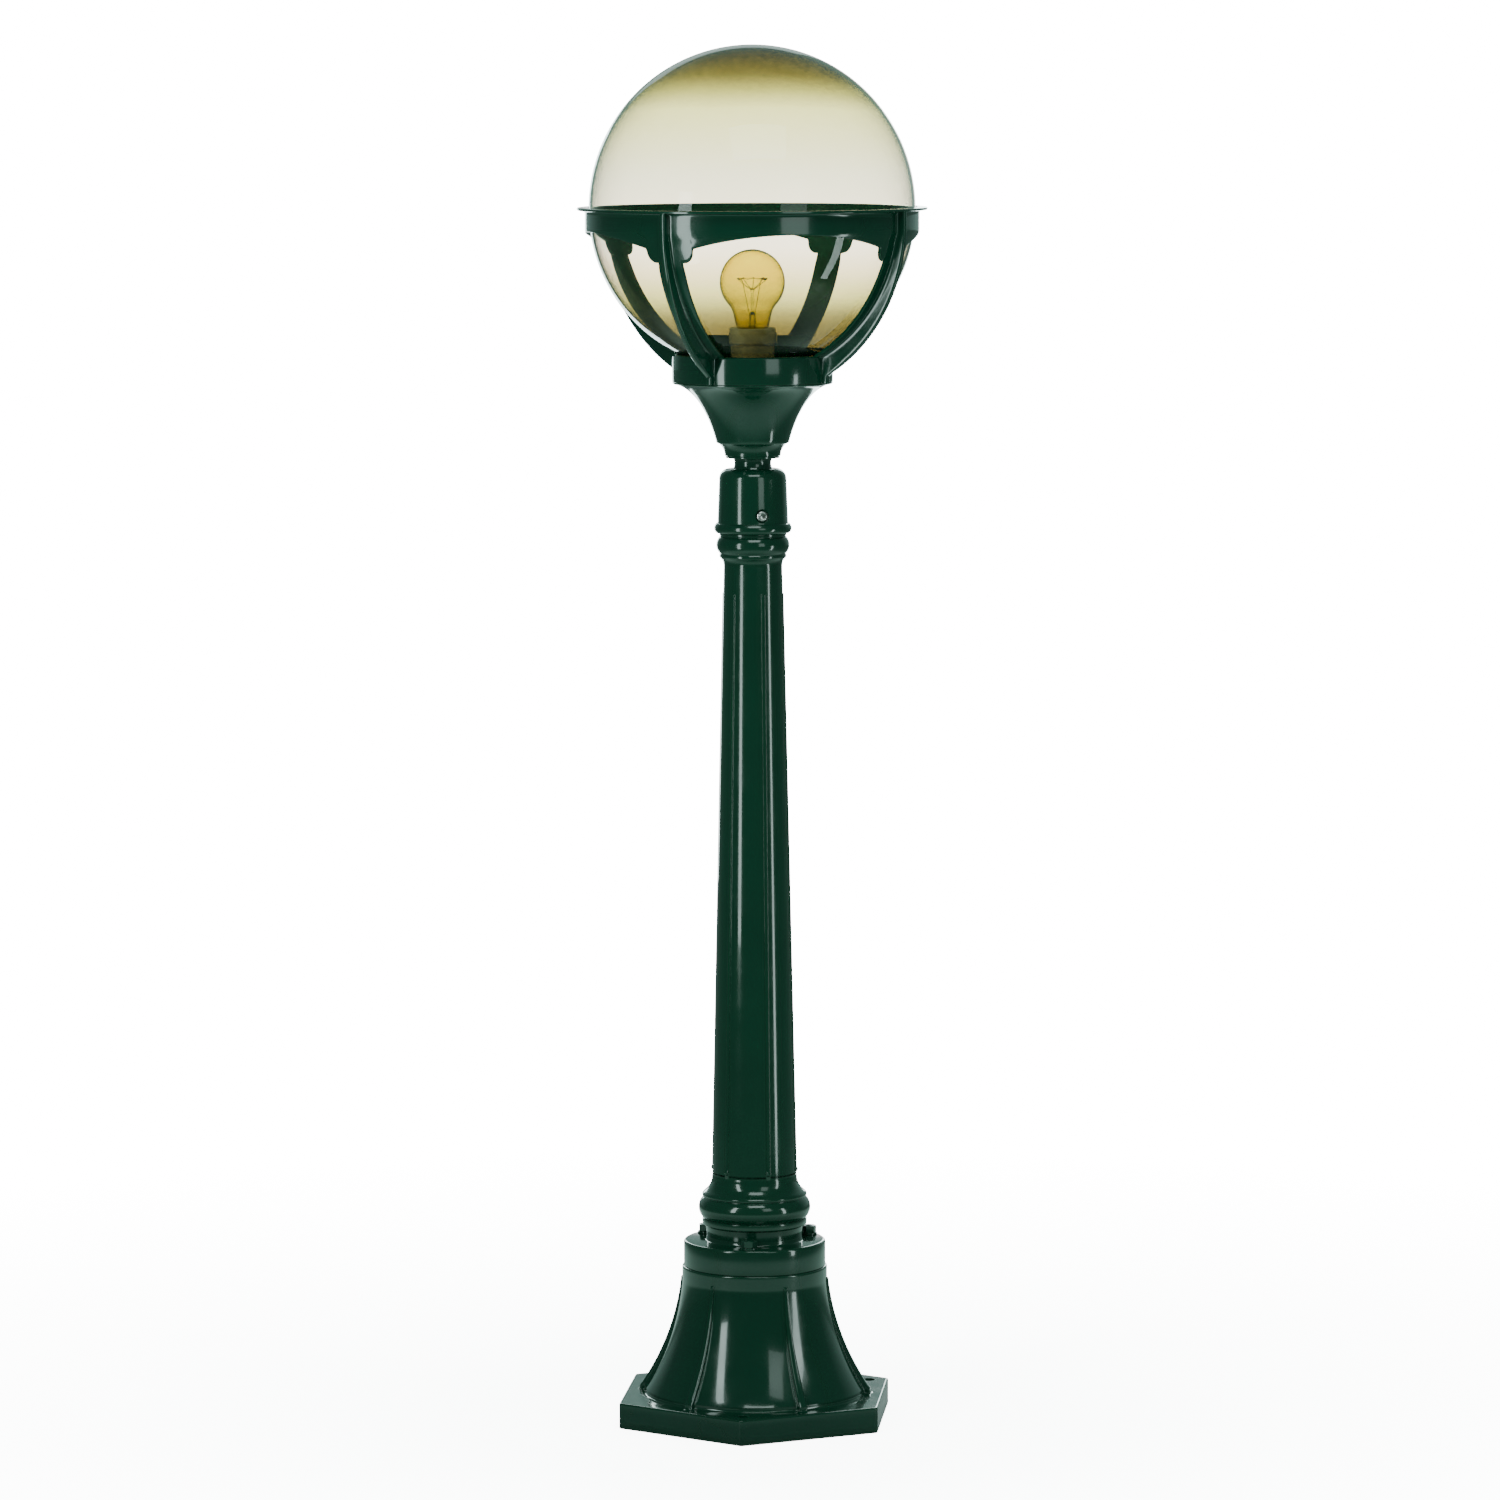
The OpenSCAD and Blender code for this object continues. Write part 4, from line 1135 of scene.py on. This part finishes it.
def bulb_outline(inset):
    """The envelope from its cap to its crown, drawn in by an inset."""
    r = BULB_R - inset
    tangent = radians(42)
    mouth = CAP_R - 0.7 - inset
    foot = (r * cos(tangent), BULB_CENTRE - r * sin(tangent))
    pull = (foot[0] - 9 * sin(tangent), foot[1] - 9 * cos(tangent))
    points = [(mouth, CAP_TOP - 6), (mouth, CAP_TOP)]
    points += bezier((mouth + 0.9, CAP_TOP + 2), (mouth + 5.2, CAP_TOP + 16), pull, foot, 22)
    for k in range(1, 41):
        a = -tangent + (pi / 2 + tangent) * k / 40
        points.append((r * cos(a), BULB_CENTRE + r * sin(a)))
    points[-1] = (0, points[-1][1])
    return points


def bulb_envelope():
    outline = bulb_outline(0)[::-1] + bulb_outline(0.8)
    mesh = shells("bulb_envelope", [lathe(outline, 96)])
    glass_piece("bulb_envelope", mesh, LAMP_GLASS, "bulb", "bulb_glass")


def bulb_cap():
    """The rolled Edison thread of the cap, with a plain skirt above it."""
    start = CONTACT_Z + 4.5
    columns = 96
    rows = [circle(CAP_R - 4, start + 0.6, columns), circle(CAP_R - 3, start, columns)]
    steps = 44
    for i in range(steps + 1):
        z = start + 1.6 + CAP_THREAD_LENGTH * i / steps
        depth = CAP_THREAD_DEPTH * smooth(i / 6) * smooth((steps - i) / 5)
        taper = 1.6 * (1 - smooth(i / 5))
        row = []
        for k in range(columns):
            wave = 0.5 - 0.5 * cos(2 * pi * (z / CAP_PITCH - k / columns))
            row.append(polar(CAP_R - depth * wave - taper, 360 * k / columns, z))
        rows.append(row)
    skirt = rounded([
        (CAP_R, CAP_TOP - 3.0), (CAP_R, CAP_TOP, 0.2), (CAP_R - 0.5, CAP_TOP, 0.2),
        (CAP_R - 0.5, start + 3),
    ], 3)
    rows += lathe(skirt + [(CAP_R - 4, start + 1.2)], columns)
    mesh = shells("bulb_screw_cap", [rows], loop=True)
    finish_object("bulb_screw_cap", mesh, CAP_METAL, "bulb", ["bulb_cap"], sharp=50)


def tungsten_wires(name, paths, radius, sides, node):
    mesh = wire_mesh(name, paths, radius, sides)
    finish_object(name, mesh, DARKENED_WIRE_METAL, "bulb", [node], sharp=60)


def bulb_filament():
    """A coiled filament hung over three quarters of a circle."""
    points = []
    for i in range(COIL_TURNS * 8 + 1):
        a = 2 * pi * i / 8
        turned = 270 * i / (COIL_TURNS * 8)
        sag = 0.35 - 0.35 * cos(radians(8 * turned))
        r = FILAMENT_R + COIL_R * cos(a)
        points.append(polar(r, 45 + turned, FILAMENT_Z + COIL_R * sin(a) - sag))
    tungsten_wires("bulb_filament_coil", [points], 0.14, 1, "bulb_filament")


def bulb_wires():
    """Lead wires and the support wires, each support ending in a small hook."""
    button = FILAMENT_Z - 10
    pinch = CAP_TOP + 18
    paths = []
    for angle in (90, 135, 180, 225, 270):
        path = [(1.2, button + 0.2), (5, button + 2.6), (FILAMENT_R - 2.2, FILAMENT_Z - 2.6)]
        for k in range(7):
            a = radians(-120 + 50 * k)
            path.append((FILAMENT_R + 0.8 * cos(a), FILAMENT_Z + 0.8 * sin(a)))
        paths.append([polar(r, angle, z) for r, z in path])
    for angle in (45, 315):
        path = [(3, CAP_TOP - 2), (2.6, pinch - 4), (2.8, pinch), (4.2, pinch + 3)]
        path += [(FILAMENT_R - 1.5, FILAMENT_Z - 3), (FILAMENT_R - 0.3, FILAMENT_Z - 0.8)]
        path += [(FILAMENT_R, FILAMENT_Z + 0.4)]
        paths.append([polar(r, angle, z) for r, z in path])
    tungsten_wires("bulb_wire_set", paths, 0.28, 2, "bulb_wires")


def lampholder():
    z = LAMPHOLDER_Z
    r = reach("lampholder_body")
    top = high("lampholder_body")
    body = rounded([
        (8.6, z), (r, z, 1.2), (r, z + 5.6, 0.4), (r - 0.7, z + 6.2, 0.4), (r, z + 6.8, 0.4),
        (r, top - 1.4, 0.6), (r - 0.9, top - 0.6, 0.4), (r - 0.9, top), (14, top), (14, CONTACT_Z + 1),
        (9, CONTACT_Z + 1), (9, z + 7), (8.6, z + 4),
    ], 4)
    mesh = shells("lampholder_porcelain", [lathe(body, 96)], loop=True)
    finish_object("lampholder_porcelain", mesh, PORCELAIN, "head", ["lampholder_body"])
    rim = reach("lampholder_skirt")
    low_z = low("lampholder_skirt")
    crown = high("lampholder_skirt")
    skirt = rounded([
        (14, low_z), (rim - 0.9, low_z, 0.5), (rim, low_z + 1.2, 0.6), (rim, crown - 4.6, 0.4),
        (rim - 0.5, crown - 4.0, 0.3), (rim - 0.5, crown, 1.1), (18.5, crown, 0.8),
        (18.5, CAP_TOP, 0.5), (14, CAP_TOP),
    ], 4)
    ear = rounded([(0, -5.5), (2.9, -5.5, 0.6), (2.9, 4.5, 1.2), (0, 4.5)], 4)
    parts = [moved(lathe(ear, 32), outward(100, rim - 1.6, low_z + 6.0))]
    ring = shells("lampholder_ring", [lathe(skirt, 96)], loop=True)
    mesh = combined("lampholder_ring", ring, shells("ear", parts), "UNION")
    finish_object("lampholder_ring", mesh, PORCELAIN, "head", ["lampholder_skirt"])


# ---- CAD nodes that stay

KEPT_NODES = {
    "post_spigot": ZINC, "terminal_bracket": ZINC, "terminal_screws": STEEL, "terminal_block": BLOCK,
    "earth_screw": BRASS, "inner_cable": SHEATH, "stem_nipple": ZINC, "stem_nuts": ZINC,
    "basket_screws": STEEL, "globe_gasket": RUBBER, "gear_tray": GREEN, "lampholder_screws": ZINC,
    "screw_shell": BRASS, "socket_contact": BRASS, "bulb_contact": BRASS,
    "bulb_insulator": INSULATOR, "bulb_stem": STEM_GLASS,
}
EDGED_NODES = ("terminal_bracket", "terminal_block", "gear_tray", "globe_gasket", "stem_nuts")


def dress_kept_nodes():
    for name, material in KEPT_NODES.items():
        obj = frame["nodes"][name]
        for held in obj.material_slots:
            held.material = material
        if name in EDGED_NODES:
            bevel = obj.modifiers.new("edge", "BEVEL")
            bevel.width = 0.3 * MM
            bevel.segments = 2
            bevel.limit_method = "ANGLE"
            bevel.angle_limit = radians(40)


# ---- stage, lights, camera

CAMERA_AZIMUTH = 5.3
CAMERA_DISTANCE = 6.1
CAMERA_HEIGHT = 1.281
CAMERA_PITCH = 6.13
CAMERA_YAW = 0.03
CAMERA_ROLL = -0.14
CAMERA_LENS = 159.2


def camera():
    data = bpy.data.cameras.new("camera")
    data.lens = CAMERA_LENS
    data.sensor_width = 36
    data.clip_end = 60
    obj = bpy.data.objects.new("camera", data)
    a = radians(CAMERA_AZIMUTH)
    spot = Vector((sin(a) * CAMERA_DISTANCE, -cos(a) * CAMERA_DISTANCE, CAMERA_HEIGHT))
    turn = rotation(CAMERA_AZIMUTH + CAMERA_YAW, "Z")
    tip = rotation(90 - CAMERA_PITCH, "X")
    roll = rotation(CAMERA_ROLL, "Z")
    obj.matrix_world = Matrix.Translation(spot) @ turn @ tip @ roll
    add_to_scene(obj)
    bpy.context.scene.camera = obj


def area_light(name, azimuth, distance, z, width, height, power, aim_z=None):
    """A softbox at an azimuth from the camera's direction; upright unless it is aimed."""
    data = bpy.data.lights.new(name, "AREA")
    data.shape = "RECTANGLE"
    data.size = width
    data.size_y = height
    data.energy = power
    data.color = (0.80, 1.0, 0.96)
    obj = bpy.data.objects.new(name, data)
    a = radians(CAMERA_AZIMUTH + azimuth)
    spot = Vector((sin(a) * distance, -cos(a) * distance, z))
    aim = Vector((0, 0, z if aim_z is None else aim_z)) - spot
    obj.rotation_mode = "QUATERNION"
    obj.rotation_quaternion = aim.to_track_quat("-Z", "Y")
    obj.location = spot
    obj.visible_camera = False
    obj.visible_transmission = False
    add_to_scene(obj)


# name, azimuth, distance, height, width, length, power and, if it is tilted, the height it faces
LIGHTS = (
    ("strip_left", -45, 1.2, 0.85, 0.20, 1.03, 5),
    ("strip_right", 63, 1.2, 0.48, 0.13, 0.80, 2.4),
    ("panel_right", 28, 1.7, 1.30, 0.55, 0.90, 2.6),
    ("overhead", 6, 1.2, 2.45, 1.1, 0.8, 11, 1.1),
    ("back_left", -163, 1.5, 0.85, 0.25, 1.05, 5),
    ("back_right", 168, 1.5, 0.85, 0.25, 1.05, 5),
    ("back_overhead", 186, 2.2, 1.95, 1.1, 0.5, 1.5, 1.1),
)
ROOM_WHITE = 17.0
ROOM_THROUGH_GLASS = 4.6


def unreflected(nodes):
    """Two factors: 1 for what the eye sees directly, and 1 also for what it sees through glass."""
    path = nodes.node("LightPath").outputs
    direct = path["Is Camera Ray"]
    bounces = nodes.maths("ADD", path["Glossy Depth"], path["Diffuse Depth"])
    straight = nodes.maths("LESS_THAN", bounces, 0.5)
    through = nodes.maths("MULTIPLY", straight, path["Is Transmission Ray"])
    return direct, nodes.maths("MAXIMUM", direct, through)


def room_light(nodes):
    """How bright the white room is to the eye, and through the lantern's glass."""
    return nodes.span(unreflected(nodes)[0], 0.0, 1.0, ROOM_THROUGH_GLASS, ROOM_WHITE)


def world():
    """White to the eye; a dim room with one pale wall behind the object in its gloss."""
    made = bpy.data.worlds.new("studio")
    bpy.context.scene.world = made
    made.use_nodes = True
    nodes = Nodes(made.node_tree)
    nodes.tree.nodes.clear()
    place = nodes.node("TexCoord").outputs["Generated"]
    behind = nodes.node("SeparateXYZ", {0: place}).outputs["Y"]
    wall = nodes.ramp(behind, [
        (0.50, (0.021, 0.033, 0.030)), (0.97, (0.085, 0.138, 0.124)),
        (0.985, (0.10, 0.15, 0.14)), (1.0, (1, 1, 1)),
    ])
    gloss = nodes.node("Background", {"Color": wall, "Strength": 3.0}).outputs[0]
    links = {"Color": (1, 1, 1, 1), "Strength": room_light(nodes)}
    white = nodes.node("Background", links).outputs[0]
    mix = nodes.mix_shader(unreflected(nodes)[1], gloss, white)
    nodes.node("OutputWorld", {"Surface": mix})


def stage():
    """A pale round floor with soft shadows, whose far edge fades into the white room."""
    glow_colour = (0.62, 1.0, 0.85, 1)
    s = Shade("stage_floor", (0.27, 0.32, 0.30), Roughness=0.6, Emission_Color=glow_colour)
    far = s.node("VectorMath", {0: s.place}, operation="LENGTH").outputs["Value"]
    greys = ((0.10, 0.05), (0.30, 0.42), (0.48, 0.42), (0.75, 0.07))
    sheen = s.ramp(s.span(far, 0.0, 2.0, 0.0, 1.0), [(at, (grey,) * 3) for at, grey in greys])
    s.plug(sheen, s.shader.inputs["Emission Strength"])
    bright = s.node("BsdfDiffuse", {"Color": (8.0, 8.0, 8.0, 1)}).outputs[0]
    glow = s.node("Emission", {"Strength": room_light(s)}).outputs[0]
    pale = s.mix_shader(s.span(far, 0.25, 1.6, 0.5, 1.0), bright, glow)
    mix = s.mix_shader(unreflected(s)[1], s.shader.outputs[0], pale)
    s.plug(mix, s.tree.nodes["Material Output"].inputs["Surface"])
    mesh = bpy.data.meshes.new("stage_floor")
    bm = bmesh.new()
    add_rows(bm, [circle(r, -0.2, 64) for r in (0, 400, 1200, 3000, 8000, 20000)], False)
    bm.to_mesh(mesh)
    bm.free()
    mesh.materials.append(s.material)
    obj = bpy.data.objects.new("stage_floor", mesh)
    add_to_scene(obj)


for build in (
    camera, base_casting, column_foot, column_shaft, column_capital, flange_fasteners,
    head_sleeve, set_screws, neck_spacer, cup, basket, globe, bulb_envelope, bulb_cap,
    bulb_filament, bulb_wires, lampholder, dress_kept_nodes, world, stage,
):
    build()
for light in LIGHTS:
    area_light(*light)
